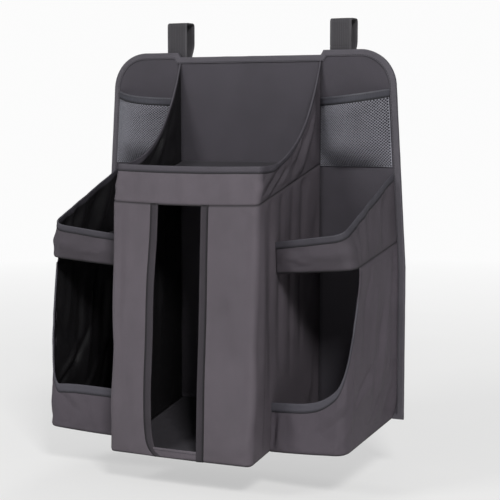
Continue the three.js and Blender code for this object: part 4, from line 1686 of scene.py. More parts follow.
@dataclass
class BackPanel:
    """The stiffened panel: two covers over three boards, bound round its edge."""

    bottom: float = 35.0
    top: float = 572.0
    top_middle: float = 565.0
    step: float = 122.0
    fold: float = 118.0
    half_width: float = 250.0
    half_width_top: float = 234.0
    flare: float = 258.0
    corner: float = 55.0
    cover: float = 1.0
    rear_face: float = 5.0
    binding: float = 8.4
    tape: float = 0.8

    HEM_DEPTH = 9.0
    BULGE = 0.9

    def half_width_at(self, height: Array | float) -> Array:
        """Half the panel's width at a height."""
        rise = (np.asarray(height, float) - self.flare) / (self.top - self.corner - self.flare)
        return self.half_width + (self.half_width_top - self.half_width) * np.clip(rise, 0, 1)

    def top_at(self, x: Array) -> Array:
        """Height of the top edge across the panel.

        Args:
            x: places across it.

        Returns:
            The heights.
        """
        x = np.abs(x)
        ease = np.clip((x - self.fold) / (self.step - self.fold), 0, 1)
        flat = self.top_middle + (self.top - self.top_middle) * ease
        inner = self.half_width_top - self.corner
        drop = np.clip(x - inner, 0, self.corner)
        return flat - (self.corner - np.sqrt(np.maximum(self.corner**2 - drop**2, 0)))

    def grid(self, y: float, rows: int = 132, columns: int = 150) -> Array:
        """Points over the panel's face.

        Args:
            y: their depth.
            rows: steps up the panel.
            columns: steps across it.

        Returns:
            The grid of points.
        """
        s = np.linspace(-1, 1, columns + 1)
        u = 0.72 * s + 0.28 * np.sin(s * math.pi / 2)
        v = np.linspace(0, 1, rows + 1)[:, None]
        x = u[None] * self.half_width_top
        top = self.top_at(x)
        z = self.bottom + (top - self.bottom) * v
        x = x / self.half_width_top * self.half_width_at(z)
        return np.stack([np.broadcast_to(x, z.shape), np.full(z.shape, y), z], axis=-1)

    def outline(self) -> Array:
        """The panel's outline, counterclockwise from the front.

        Returns:
            Its corners, x and height.
        """
        angles = np.linspace(0, math.pi / 2, 15)
        inner, rise = self.half_width_top - self.corner, self.top - self.corner
        right = [(inner + self.corner * math.cos(a), rise + self.corner * math.sin(a)) for a in angles]
        straight = [(x, self.top) for x in np.linspace(inner, self.step, 6)[1:]]
        middle = [(x, self.top_middle) for x in np.linspace(self.fold, -self.fold, 16)]
        side = [(float(self.half_width_at(h)), h) for h in np.linspace(self.bottom, rise, 40)[:-1]]
        foot = [(x, self.bottom) for x in np.linspace(-self.half_width, self.half_width, 42)[:-1]]
        half = side + right + straight
        return np.array([*foot, *half, *middle, *((-x, z) for x, z in half[:0:-1])])

    def build(self, bench: Workbench) -> None:
        """Makes the covers, the binding and the stitches, and dresses the boards.

        Args:
            bench: where they are made.
        """
        half = self.cover / 2
        for word, y, way, seed in (("front", half, -1.0, 3), ("rear", self.rear_face - half, 1.0, 8)):
            ply = Ply(self.grid(y), (0, way, 0))
            across = np.abs(ply.points[..., 0])
            lie = Ripple(seed, 85, 0.4).lift(ply) + Ripple(seed + 1, 34, 0.16, 2.2).lift(ply)
            crease = bell(across - self.fold, 2.6)
            ply.push(np.clip(lie, -0.75, 0.3) * ply.held(list(Border), 10) - 1.0 * crease)
            hem = bell(ply.off(Border.RIM) - self.HEM_DEPTH, 1.3) * (across < self.fold)
            ply.push(-0.35 * hem)
            # Painted shade in the groove over the gap between boards and along the top hem's stitch line.
            solid = shell(ply, self.cover, np.clip(0.75 * crease + 0.5 * hem, 0, 1))
            piece = bench.add(f"back_panel_{word}_cover", solid, COVER_CLOTH, "cover_cloth")
        self._binding(bench)
        for word in ("left", "middle", "right"):
            board = bench.nodes[f"back_board_{word}"]
            board.data.materials.clear()
            board.data.materials.append(FIBREBOARD.material())

    def _section(self, centre: float, reach: float) -> list[tuple[float, float, float]]:
        """Goes round the tape's section, from its edge on the front to its edge at the rear.

        Args:
            centre: the depth of its middle.
            reach: how far from there its two faces lie.

        Returns:
            For each place the share of its width, the depth, and how far it bulges out.
        """
        front = [(share, centre - reach, 0.0) for share in np.linspace(0, 1, 7)[:-1]]
        rear = [(share, centre + reach, 0.0) for share in np.linspace(1, 0, 7)[1:]]
        turn = []
        for angle in np.linspace(-90, 90, 9):
            depth = math.sin(math.radians(angle))
            bulge = self.BULGE * (math.sqrt(max(0.0, 1 - depth * depth)) - 1)
            turn.append((1.0, centre + depth * reach, bulge))
        return [*front, *turn, *rear]

    def _binding(self, bench: Workbench) -> None:
        """Makes the tape folded over the edge all round, with its two rows of stitches.

        Args:
            bench: where they are made.
        """
        outline, stand = self.outline(), CLEARANCE + self.tape / 2
        inside, edge = drawn_in(outline, self.binding), drawn_in(outline, -stand)
        rows = []
        for share, y, bulge in self._section(self.rear_face / 2, self.rear_face / 2 + stand):
            line = inside + (edge - inside) * share + unit(edge - inside) * bulge
            row = np.stack([line[:, 0], np.full(len(line), y), line[:, 1]], axis=1)
            rows.append(np.concatenate([row, row[:1]]))
        ply = Ply(np.array(rows), (0, 0, 0))
        if ply.normals[0].mean(axis=0)[1] > 0:
            ply.normals = -ply.normals
        lie = Ripple(21, 26, 0.12).lift(ply)
        lie = lie + (lie[:, :1] - lie[:, -1:]) * np.linspace(0, 1, lie.shape[1])[None]
        ply.points = ply.points + ply.normals * np.clip(lie, -0.1, 0.25)[..., None]
        edges = (Border.FOOT, Border.RIM)
        # Painted shade along the tape's two edges, where it meets the covers; the worn mark lightens its turned edge.
        dark = 0.2 * np.maximum(*(bell(ply.off(border), 0.9) for border in edges))
        solid = shell(ply, self.tape, dark, bell(ply.up - ply.up.max() / 2, 2.4))
        piece = bench.add("back_panel_binding", solid, LIT_BINDING_TAPE, "hem_cloth")
        stitching = Stitching()
        for border in edges:
            stitching.sew(ply.track(border, 1.5, self.tape / 2))
        places = np.linspace(-self.fold + 6, self.fold - 6, 60)
        line = np.array([(x, 0.12, self.top_middle - self.HEM_DEPTH) for x in places])
        stitching.sew(Track(line, np.tile([0.0, -1.0, 0.0], (len(line), 1))))
        bench.stitches("back_panel_stitching", stitching)


@dataclass
class Strap:
    """A webbing strap: sewn to the panel's back, over the rail, and back to a tail."""

    side: Side
    width: float = 32.0
    thickness: float = 2.0
    sewn: float = 34.0
    loop_depth: float = 22.6
    loop_height: float = 34.0
    loop_corner: float = 5.0
    bearing: float = 617.0
    tail_top: float = 538.0
    tail_length: float = 98.0
    patch: float = 1.4
    hook_length: float = 84.0
    loop_patch_length: float = 112.0
    foot: float = 573.7
    front: float = 6.4
    tail_front: float = 8.7
    hook_width: float = 30.0
    patch_seat: float = 5.3

    BEND = 3.5
    STITCH = 3.2
    JOINED = 5

    @property
    def centre(self) -> float:
        """The strap's middle, across the organizer."""
        return -126.0 if self.side is Side.LEFT else 146.0

    def build(self, bench: Workbench) -> None:
        """Makes the strap's pieces and its stitches.

        Args:
            bench: where they are made.
        """
        x, half, word = self.centre, self.thickness / 2, self.side.word
        strap, end = f"strap_{word}", f"strap_{word}_end"
        hinge, peel = self.foot + 0.3, self.tail_front + self.thickness
        tail_foot = self.tail_top - self.tail_length
        sewn = self._straight(self.front + half, self.foot - self.sewn, self.foot + self.JOINED)
        tail = self._straight(self.tail_front + half, tail_foot, self.tail_top + self.thickness)
        fold = ((x, self.front, hinge - self.BEND), (x, self.front, hinge + self.BEND))
        turn = ((x, peel, self.tail_top + 1.8), (x, peel, self.tail_top - 5))
        edges = (Border.START, Border.END)
        for part, path, body in (
            ("sewn_end", sewn, (MAIN_BODY, strap, *fold)),
            ("loop", self._loop_path(), strap),
            ("tail", tail, (strap, end, *turn)),
        ):
            ribbon = self._ribbon(path, self.width)
            bench.cloth(f"{strap}_{part}", ribbon, self.thickness, WEBBING, "webbing", worn=edges, body=body)
        hook_y = self.patch_seat + self.patch + CLEARANCE + self.patch / 2
        hook_top = self.tail_top - (self.tail_length - self.hook_length) / 2
        hook = self._ribbon(self._straight(hook_y, hook_top - self.hook_length, hook_top), self.hook_width)
        soft_y, soft_top = self.patch_seat + self.patch / 2, self.tail_top + CLEARANCE
        soft = self._ribbon(self._straight(soft_y, soft_top - self.loop_patch_length, soft_top), self.width)
        for name, ribbon, finish, seat, body in (
            (f"{strap}_hook_patch", hook, HOOKS, f"{strap}_tail", end),
            (f"panel_{word}_loop_patch", soft, LOOPS, "back_panel_rear_cover", MAIN_BODY),
        ):
            bench.cloth(name, ribbon, self.patch, finish, "hook_and_loop", "laid", (seat,), body=body)
        stitching = Stitching(length=self.STITCH)
        self._box(stitching, self.foot - self.sewn + 4, self.foot - 4, self.front + self.thickness)
        bench.stitches(f"{strap}_stitching", stitching)
        stitching = Stitching(length=self.STITCH)
        self._box(stitching, tail_foot + 5, self.tail_top - 9, peel, cross=False)
        bench.stitches(f"{strap}_tail_stitching", stitching, end)

    def _straight(self, y: float, low: float, high: float) -> Array:
        """An upright path of depths and heights."""
        heights = np.linspace(low, high, max(4, int((high - low) / 2)))
        return np.stack([np.full(len(heights), y), heights], axis=1)

    def _loop_path(self) -> Array:
        """The loop's path, up, over and down again.

        Returns:
            Its points, depth and height.
        """
        front = self.front + self.thickness / 2
        back = self.front + self.thickness + self.loop_depth + self.thickness / 2
        top, corner = self.bearing + self.thickness / 2, self.loop_corner
        turn_down = self.bearing - self.loop_height
        tail = self.tail_front + self.thickness / 2
        runs = [
            ((front, self.foot + self.JOINED), (front, top - corner)),
            ((front, top - corner), (front, top), (front + corner, top)),
            ((front + corner, top), (back - corner, top)),
            ((back - corner, top), (back, top), (back, top - corner)),
            ((back, top - corner), (back, turn_down + corner)),
            ((back, turn_down + corner), (back, turn_down), (back - corner / 2, turn_down - corner)),
            ((back - corner / 2, turn_down - corner), (tail, self.tail_top + self.thickness)),
        ]
        points = []
        for run in runs:
            curve = Bezier(tuple((0.0, a, b) for a, b in run))
            length = sum(apart(a, b) for a, b in zip(run, run[1:]))
            points.append(curve.at(np.linspace(0, 1, max(5, int(length / 2)) + 1))[:-1, 1:])
        return np.concatenate([*points, [[tail, self.tail_top + self.thickness]]])

    def _ribbon(self, path: Array, width: float) -> Ply:
        """A flat band along a path, cupped a little across its width.

        Args:
            path: depths and heights.
            width: the band's width.

        Returns:
            The band.
        """
        shares = np.linspace(-1, 1, 15)
        shares = np.sign(shares) * (1 - (1 - np.abs(shares)) ** 1.5)
        across = self.centre + shares * width / 2
        run = unit(np.gradient(path, axis=0))
        cup = 0.14 * (shares**2)[None, :] - 0.1 * bell(1 - np.abs(shares), 0.08)[None, :]
        y = path[:, :1] + run[:, 1:] * cup
        z = path[:, 1:] - run[:, :1] * cup
        x = np.broadcast_to(across[None], y.shape)
        return Ply(np.stack([x, y, z], axis=-1), (0, 1, 0))

    def _box(self, stitching: Stitching, low: float, high: float, y: float, cross: bool = True) -> None:
        """Sews a box of stitches on the strap's rear face.

        Args:
            stitching: the stitches, to which the box's are added.
            low: the box's lower edge.
            high: its upper edge.
            y: the depth of the face.
            cross: whether there is a cross in the box.
        """
        left, right = self.centre - self.width / 2 + 4, self.centre + self.width / 2 - 4
        corners = [(left, low), (right, low), (right, high), (left, high), (left, low)]
        runs = list(zip(corners, corners[1:]))
        if cross:
            runs += [((left, low), (right, high)), ((left, high), (right, low))]
        for a, b in runs:
            shares = np.linspace(0, 1, 20)[:, None]
            flat = np.array(a) + (np.array(b) - np.array(a)) * shares
            line = np.stack([flat[:, 0], np.full(20, y + 0.05), flat[:, 1]], axis=1)
            stitching.sew(Track(line, np.tile([0.0, 1.0, 0.0], (20, 1))))


def under_hem(ply: Ply) -> Array:
    """A wall's thickness, pressed thin where its rim runs under a hem."""
    return FABRIC * (1 - 0.5 * np.exp(-((ply.off(Border.RIM) / 3.2) ** 4)))


LOWER = (Border.FOOT,)
SEAMS = (Border.FOOT, Border.RIM)
FRONT_COVER = "back_panel_front_cover"
UNDER_HEM = 2.9
TRAY_HEM_LINES = (0.0, 0.5, 1.1, 2.0, 3.2, 4.6, 5.8, 6.5, 7.2, 7.9, 8.7, 10.2, 12.5)
LIP_HEM_LINES = (0.0, 0.5, 1.1, 2.0, 3.4, 5.0, 7.0, 8.9, 9.6, 10.3, 11.0, 11.8, 13.2, 15.5)


def split_hem(full: Ply, hem: float) -> tuple[slice, slice]:
    """Where a wall and its hem part: the wall's rows, which run on under it, and the hem's.

    Args:
        full: the wall with its hem.
        hem: the hem's width.

    Returns:
        The wall's rows and the hem's rows.
    """
    off = full.off(Border.RIM).mean(axis=1)
    first = int(np.argmin(np.abs(off - hem)))
    last = int(np.argmin(np.abs(off - (hem - UNDER_HEM))))
    return slice(0, last + 1), slice(first, None)


@dataclass
class WipeTray:
    """The open tray at the top of the column, sewn from a front and two gussets."""

    foot: ColumnSeam = COLUMN_SEAM
    rim: ColumnSeam = COLUMN_RIM
    side_steps: int = 84
    turn_steps: int = 8
    front_steps: int = 64

    FAN = (
        (2, 8, 104, 70, 6.5, -5.2),
        (12, 3, 118, 56, 6.0, 4.6),
        (-3, 22, 62, 66, 6.0, 4.2),
        (36, 6, 150, 84, 8.0, -4.6),
        (62, 10, 168, 96, 8.0, 3.4),
        (96, 12, 192, 110, 9.0, -3.4),
        (130, 14, 200, 128, 9.0, 2.9),
        (-22, 3, -12, 46, 5.0, -0.9),
        (-52, 8, -40, 50, 9.0, 0.7),
    )

    def build(self, bench: Workbench) -> None:
        """Makes the tray's walls, hem, floor, board and stitches.

        Args:
            bench: where they are made.
        """
        steps = (self.side_steps, self.turn_steps, self.front_steps, self.turn_steps, self.side_steps)
        cut = Cut(tuple(enumerate(steps)), rows=26, from_rim=CLEARANCE, high=TRAY_HEM_LINES)
        full = Ply(cut.rows_between(self.foot.curves(), self.rim.curves()), (0, -1, 0))
        left, right = self.side_steps, self.side_steps + 2 * self.turn_steps + self.front_steps
        forms = self._folds(float(full.along[0, left]), float(full.along[0, right]))
        full.shape(forms, (Border.FOOT, Border.START, Border.END), Border.RIM)
        full.settle(spare=(0.012, 0.004), stiff=(Border.RIM, HEM))
        wall_rows, hem_rows = split_hem(full, HEM)
        gusset = (GUSSET_SHADED_CLOTH, "side_cloth", "hung")
        for word, columns, look, seams in (
            ("front", slice(left, right + 1), (COLUMN_CLOTH, "front_cloth", "stretched"), LOWER),
            ("left_gusset", slice(0, left + 2), gusset, (Border.FOOT, Border.START)),
            ("right_gusset", slice(right - 1, None), gusset, (Border.FOOT, Border.END)),
        ):
            wall = full.part(wall_rows, columns)
            wall.roll(LOWER)
            bench.cloth(f"wipe_tray_{word}", wall, under_hem(wall), *look, (FRONT_COVER,), seams, inside_shade=INSIDE_SHADE)
        stitching = Stitching()
        bench.hem("wipe_tray_rim", full.part(hem_rows), RIM_CLOTH, Ripple(43, 30, 0.1), stitching)
        bench.stitches("wipe_tray_stitching", stitching)
        column_floor("wipe_tray", self.foot, 45).build(bench)

    def _folds(self, left: float, right: float) -> list[Form]:
        """The folds that fan out from the lower front corners, and soft waves on the front.

        Args:
            left: where the left gusset ends, along the foot.
            right: where the right gusset starts.

        Returns:
            The folds.
        """
        return [Ripple(31, 64, 0.5, 1.3), *folds(self.FAN, left, -1), *folds(self.FAN, right)]


@dataclass
class Stacker:
    """The slotted column under the tray, sewn from two halves that meet at the slot."""

    slot_left: float = 40.0
    slot_right: float = 30.0
    slot_bow: float = 6.0
    slot_round: float = 14.0
    round_share: float = 0.03
    binding: float = 10.0
    lip_share: float = 0.034
    side_steps: int = 76
    turn_steps: int = 8
    leaf_steps: int = 26
    binding_steps: int = 14

    WAVES = (
        (-92, 316, -84, 120, 40, -2.6),
        (-24, 340, -30, 130, 9, 2.4),
        (-52, 350, -60, 60, 11, -3.0),
        (-88, 345, -92, 110, 8, -2.6),
        (-128, 345, -126, 90, 9, -3.0),
        (-166, 350, -160, 60, 9, -2.6),
        (7, 340, 8, 40, 6.5, -1.3),
        (26, 346, 22, 150, 8, 0.9),
        (14, 16, 24, 170, 9, -0.8),
        (48, 8, 42, 130, 10, 0.8),
    )

    def edge(self, side: Side, share: Array) -> Array:
        """Where an edge of the slot stands.

        Args:
            side: which edge.
            share: shares of the front's height.

        Returns:
            The edge's places across.
        """
        share = np.clip(share, 1e-6, 1)
        if side is Side.RIGHT:
            return np.full(share.shape, self.slot_right)
        bow = self.slot_bow * np.sin(math.pi * share**0.6)
        return self.slot_round * np.exp(-share / self.round_share) - bow - self.slot_left

    def rows(self, start: Array, end: Array, levels: Array, columns: int) -> Array:
        """Rows of points on the front between two edges.

        Args:
            start: the first edge's places across, one for each level.
            end: the last edge's places.
            levels: shares of the front's height.
            columns: steps between the edges.

        Returns:
            The points.
        """
        run = COLUMN_FOOT.half_width - COLUMN_CORNER
        foot, rim = COLUMN_FOOT.curves()[2], COLUMN_SEAM.curves()[2]
        xs = start[:, None] + (end - start)[:, None] * np.linspace(0, 1, columns + 1)[None]
        t = ((xs + run) / (2 * run)).ravel()
        share = np.repeat(levels, columns + 1)[:, None]
        points = foot.at(t) * (1 - share) + rim.at(t) * share
        points[:, 0] = xs.ravel()
        return points.reshape(len(levels), columns + 1, 3)

    def levels(self) -> Array:
        """The heights of the rows, close together near the seams and at the slot's foot.

        Returns:
            Shares of the front's height.
        """
        near = np.array(LOW_LINES) / COLUMN_SEAM.height
        low = np.linspace(near[-1], 0.11, 16)
        return np.unique(np.concatenate([near, low, np.linspace(0.11, 1 - near[-1], 110), 1 - near]))

    def build(self, bench: Workbench) -> None:
        """Makes the stacker's halves, lip, floor, board and stitches.

        Args:
            bench: where they are made.
        """
        stitching = Stitching()
        for side in Side:
            self._half(bench, side, stitching)
        self._lip(bench, stitching)
        bench.stitches("stacker_stitching", stitching)
        column_floor("stacker", COLUMN_FOOT, 55).build(bench)

    def _half(self, bench: Workbench, side: Side, stitching: Stitching) -> None:
        """One half, from the panel round the corner to the slot: side, leaf and binding.

        Args:
            bench: where the pieces are made.
            side: which half.
            stitching: the stacker's stitches, to which the binding's are added.
        """
        sign, word = side.value, side.word
        levels = self.levels()
        foot, rim = COLUMN_FOOT.curves(), COLUMN_SEAM.curves()
        share = levels[:, None, None]
        runs = []
        for part, steps in ((0, self.side_steps), (1, self.turn_steps)):
            places = np.linspace(0, 1, steps + 1)
            if side is Side.RIGHT:
                part, places = 4 - part, 1 - places
            runs.append((foot[part].at(places)[None] * (1 - share) + rim[part].at(places)[None] * share)[:, :-1])
        half_width = COLUMN_FOOT.half_width + (COLUMN_SEAM.half_width - COLUMN_FOOT.half_width) * levels
        slot = self.edge(side, levels)
        taped = slot + sign * self.binding
        runs.append(self.rows(sign * (half_width - COLUMN_CORNER), taped, levels, self.leaf_steps)[:, :-1])
        runs.append(self.rows(taped, slot, levels, self.binding_steps))
        full = Ply(np.concatenate(runs, axis=1), (sign * 0.2, -1, 0))
        plain = full.points.copy()
        turn = self.side_steps + self.turn_steps
        waves = folds(self.WAVES, float(full.along[0, turn]))
        full.shape([*waves, Ripple(61 + sign, 84, 0.7, 2.0)], (*SEAMS, Border.START))
        full.settle(spare=(0.010, 0.003), stiff=(Border.END, self.binding))
        full.keep_in(plain, side, slice(0, self.side_steps - 8))
        tape = turn + self.leaf_steps
        wall = full.part(columns=slice(0, self.side_steps + 2))
        leaf = full.part(columns=slice(self.side_steps, tape + 4))
        pressed = FABRIC * (1 - 0.5 * np.exp(-((leaf.off(Border.END) / 3.0) ** 4)))
        for part, ply, thick, look, seams in (
            ("side", wall, FABRIC, (SIDE_SHADED_CLOTH, "side_cloth"), (*SEAMS, Border.START)),
            ("front", leaf, pressed, (COLUMN_CLOTH, "front_cloth"), SEAMS),
        ):
            ply.roll(SEAMS)
            bench.cloth(f"stacker_{part}_{word}", ply, thick, *look, "hung", ("wipe_tray_floor",), seams, inside_shade=INSIDE_SHADE)
        band, lie = full.part(columns=slice(tape, None)), Ripple(71 + sign, 36, 0.12)
        name = f"stacker_slot_binding_{word}"
        bench.hem(name, band, SLOT_TAPE, lie, stitching, (3, 3), Border.START, Border.END, SEAMS)

    def _lip(self, bench: Workbench, stitching: Stitching) -> None:
        """Makes the narrow strip under the slot.

        Args:
            bench: where it is made.
            stitching: the stacker's stitches, to which its own are added.
        """
        near = np.array(LOW_LINES) / COLUMN_SEAM.height
        even = np.linspace(near[1], self.lip_share, 10)
        levels = np.unique(np.concatenate([near[near < self.lip_share - 0.004], even]))
        edges = [self.edge(side, levels) + 1.5 * side.value for side in Side]
        lip = Ply(self.rows(*edges, levels, 30), (0, -1, 0))
        lip.roll(LOWER)
        look = (COLUMN_CLOTH, "front_cloth", "folded")
        bench.cloth("stacker_lip", lip, FABRIC, *look, shade_borders=LOWER, worn=(Border.RIM,), inside_shade=INSIDE_SHADE)
        stitching.sew(lip.track(Border.RIM, 3.0, FABRIC / 2))


@dataclass
class SidePocket:
    """A shallow tray over an open cubby, on one side of the column."""

    side: Side
    panel: BackPanel
    lip_height: float = 68.0
    lip_hem: float = 12.0
    recess: float = 3.0
    lap: float = 1.0

    FRONT_STEPS = 34
    TURN_STEPS = 12
    SIDE_STEPS = 70
    TRAY_FOLDS = (
        (4, 2, 16, 54, 5.5, 4.2),
        (15, 2, 32, 60, 5.5, -4.8),
        (27, 3, 50, 74, 6.5, 4.4),
        (44, 2, 72, 84, 7.0, -4.2),
        (70, 8, 104, 78, 10.0, 4.4),
        (100, 3, 134, 92, 11.0, -5.4),
        (-22, 4, -14, 56, 5.0, -2.2),
    )
    LIP_FOLDS = (
        (4, 4, 8, 58, 5.0, -4.2),
        (15, 6, 13, 54, 6.0, 2.2),
        (40, 4, 66, 46, 9.0, 0.9),
        (72, 34, 116, 72, 5.0, 2.2),
        (84, 30, 126, 62, 5.0, -2.0),
        (104, 10, 136, 46, 7.0, 1.4),
    )
    WALL_FOLDS = (
        (146, 90, 154, 236, 12, -7.0),
        (126, 70, 138, 180, 8, 3.6),
        (98, 66, 122, 215, 10, 5.0),
        (74, 50, 102, 170, 8, -4.2),
        (52, 70, 70, 205, 9, 4.0),
        (24, 120, 40, 240, 8, -3.2),
        (2, 46, 52, 84, 4.5, 3.0),
        (10, 62, 62, 112, 5, -3.2),
        (34, 58, 92, 130, 5.5, 3.2),
        (70, 24, 112, 60, 5, -2.8),
        (112, 20, 150, 92, 6, 3.6),
    )

    @property
    def lip_rise(self) -> float:
        """How much the lip has climbed where the corner starts."""
        return -4.0 if self.side is Side.LEFT else 19.0

    @property
    def corner_rise(self) -> float:
        """How much more it climbs around the corner."""
        return 175.0 if self.side is Side.LEFT else 124.0

    @property
    def inner_border(self) -> Border:
        """The border of the floors that is sewn to the column."""
        return Border.START if self.side is Side.RIGHT else Border.END

    def build(self, bench: Workbench) -> None:
        """Makes the tray and the cubby.

        Args:
            bench: where they are made.
        """
        self._tray(bench)
        self._cubby(bench)

    def _tray(self, bench: Workbench) -> None:
        """Makes the tray's front, outer wall, hem, floor, board and stitches.

        Args:
            bench: where they are made.
        """
        side, name = self.side, f"side_tray_{self.side.word}"
        floor, rim = POCKET_FLOOR.curves(side), POCKET_RIM.curves(side)
        steps = (self.FRONT_STEPS, self.TURN_STEPS, self.SIDE_STEPS)
        cut = Cut(tuple(enumerate(steps)), rows=22, from_rim=CLEARANCE, high=TRAY_HEM_LINES)
        full = Ply(cut.rows_between(floor, rim), (side.value, -1, 0))
        turn = self.FRONT_STEPS + self.TURN_STEPS
        corner = float(full.along[0, turn])
        forms = [
            *folds(self.TRAY_FOLDS, corner),
            Fold((-20, 23), (corner + 10, 25), 10.0, 4.5),
            Ripple(83 + side.value, 60, 0.5, 2.0),
            Pucker(Border.END),
        ]
        full.shape(forms, (Border.FOOT, Border.START, Border.END), Border.RIM)
        full.settle(spare=(0.010, 0.004), stiff=(Border.RIM, HEM))
        full.flare(side, self.panel)
        wall_rows, hem_rows = split_hem(full, HEM)
        column = f"stacker_side_{side.word}"
        for part, columns, slot, seams, hangs_from in (
            ("front", slice(0, turn + 1), "front_cloth", (Border.FOOT, Border.START), column),
            ("outer_wall", slice(turn - 1, None), "side_cloth", LOWER, FRONT_COVER),
        ):
            wall = full.part(wall_rows, columns)
            wall.roll(LOWER)
            look = (under_hem(wall), TRAY_SHADED_CLOTH, slot, "hung")
            bench.cloth(f"{name}_{part}", wall, *look, (hangs_from,), seams, inside_shade=INSIDE_SHADE)
        stitching = Stitching()
        bench.hem(f"{name}_rim", full.part(hem_rows), HEM_CLOTH, Ripple(85, 30, 0.1), stitching)
        bench.stitches(f"{name}_stitching", stitching)
        height = plane_height(floor[0].start, floor[1].start, floor[2].end)
        Floor(name, self._plan(floor), height, 87, self.inner_border).build(bench)

    def _plan(self, seam: list[Bezier]) -> Array:
        """The plan outline inside the pocket.

        Args:
            seam: the seam round it.

        Returns:
            Its corners, x and y.
        """
        outline = seam_plan(seam, (6, 6, 1))
        inner = self.side.value * (COLUMN_REAR + FABRIC / 2 + CLEARANCE)
        return np.concatenate([outline, [[inner, outline[-1, 1]]]])

    def _cubby(self, bench: Workbench) -> None:
        """Makes the cubby's lip, hem, outer wall, floor, board and stitches.

        Args:
            bench: where they are made.
        """
        side, name = self.side, f"cubby_{self.side.word}"
        foot, roof = POCKET_FOOT.curves(side), POCKET_FLOOR.curves(side)
        corner_foot = self.lip_height + self.lip_rise
        corner_top = corner_foot + self.corner_rise
        lip_line = Lip(foot, roof, self.lip_height, corner_foot, corner_top).curves()
        cut = Cut(((0, 36), (1, 34)), rows=26, from_rim=0.2, high=LIP_HEM_LINES)
        full = Ply(cut.rows_between(foot, lip_line), (side.value, -1, 0))
        forms = [Ripple(91 + side.value, 60, 0.5), *folds(self.LIP_FOLDS)]
        full.shape(forms, (Border.FOOT, Border.END), Border.RIM)
        full.settle(spare=(0.012, 0.004), cap=2.6, stiff=(Border.RIM, self.lip_hem))
        full.lap(Border.END, self.lap)
        wall_rows, hem_rows = split_hem(full, self.lip_hem)
        wall = full.part(wall_rows)
        wall.roll(LOWER)
        look = (under_hem(wall), CUBBY_SHADED_CLOTH, "front_cloth", "hung")
        bench.cloth(f"{name}_lip", wall, *look, (f"stacker_side_{side.word}",), LOWER, inside_shade=INSIDE_SHADE)
        stitching = Stitching()
        bench.hem(f"{name}_lip_hem", full.part(hem_rows), LIP_CLOTH, Ripple(93, 32, 0.12), stitching, (2, 4))
        self._outer_wall(bench, foot, roof, corner_top, stitching)
        bench.stitches(f"{name}_stitching", stitching)
        rear = [(side.value * x, 0, POCKET_FOOT.rear_height) for x in (COLUMN_REAR, POCKET_FOOT.rear)]
        height = plane_height(*rear, foot[1].controls[1])
        Floor(name, self._plan(foot), height, 97, self.inner_border).build(bench)

    def _outer_wall(
        self,
        bench: Workbench,
        foot: list[Bezier],
        roof: list[Bezier],
        corner_top: float,
        stitching: Stitching,
    ) -> None:
        """Makes the cubby's outer wall, sewn to the lip up to its top and hollowed above it.

        Args:
            bench: where the piece is made.
            foot: the lower seam.
            roof: the seam at the tray's floor.
            corner_top: how high the lip has climbed where the wall starts.
            stitching: the cubby's stitches, to which the free edge's are added.
        """
        side = self.side
        sewn_share = corner_top / apart(foot[2].start, roof[2].start)

        def start(share: float) -> float:
            """How far the wall's edge is drawn back, at a share of its height."""
            hollow = (share - sewn_share) / (1 - sewn_share)
            return 0.0 if hollow < 0 else self.lap + 0.4 + self.recess * math.sin(math.pi * hollow)

        cut = Cut(((2, self.SIDE_STEPS),), rows=70, start=start)
        wall = Ply(cut.rows_between(foot, roof), (side.value, 0, 0))
        forms = [*folds(self.WALL_FOLDS), Ripple(95 + side.value, 62, 0.6, 1.6), Pucker(Border.END)]
        wall.shape(forms, (Border.START, *SEAMS, Border.END))
        wall.settle(spare=(0.010, 0.008))
        wall.flare(side, self.panel)
        wall.lap(Border.START, self.lap)
        wall.roll(SEAMS)
        look = (CUBBY_SHADED_CLOTH, "side_cloth", "hung")
        bench.cloth(f"cubby_{side.word}_outer_wall", wall, FABRIC, *look, (FRONT_COVER,), SEAMS, inside_shade=INSIDE_SHADE)
        stitching.sew(wall.track(Border.START, 4.5, FABRIC / 2).cut(corner_top * 0.98, 4))


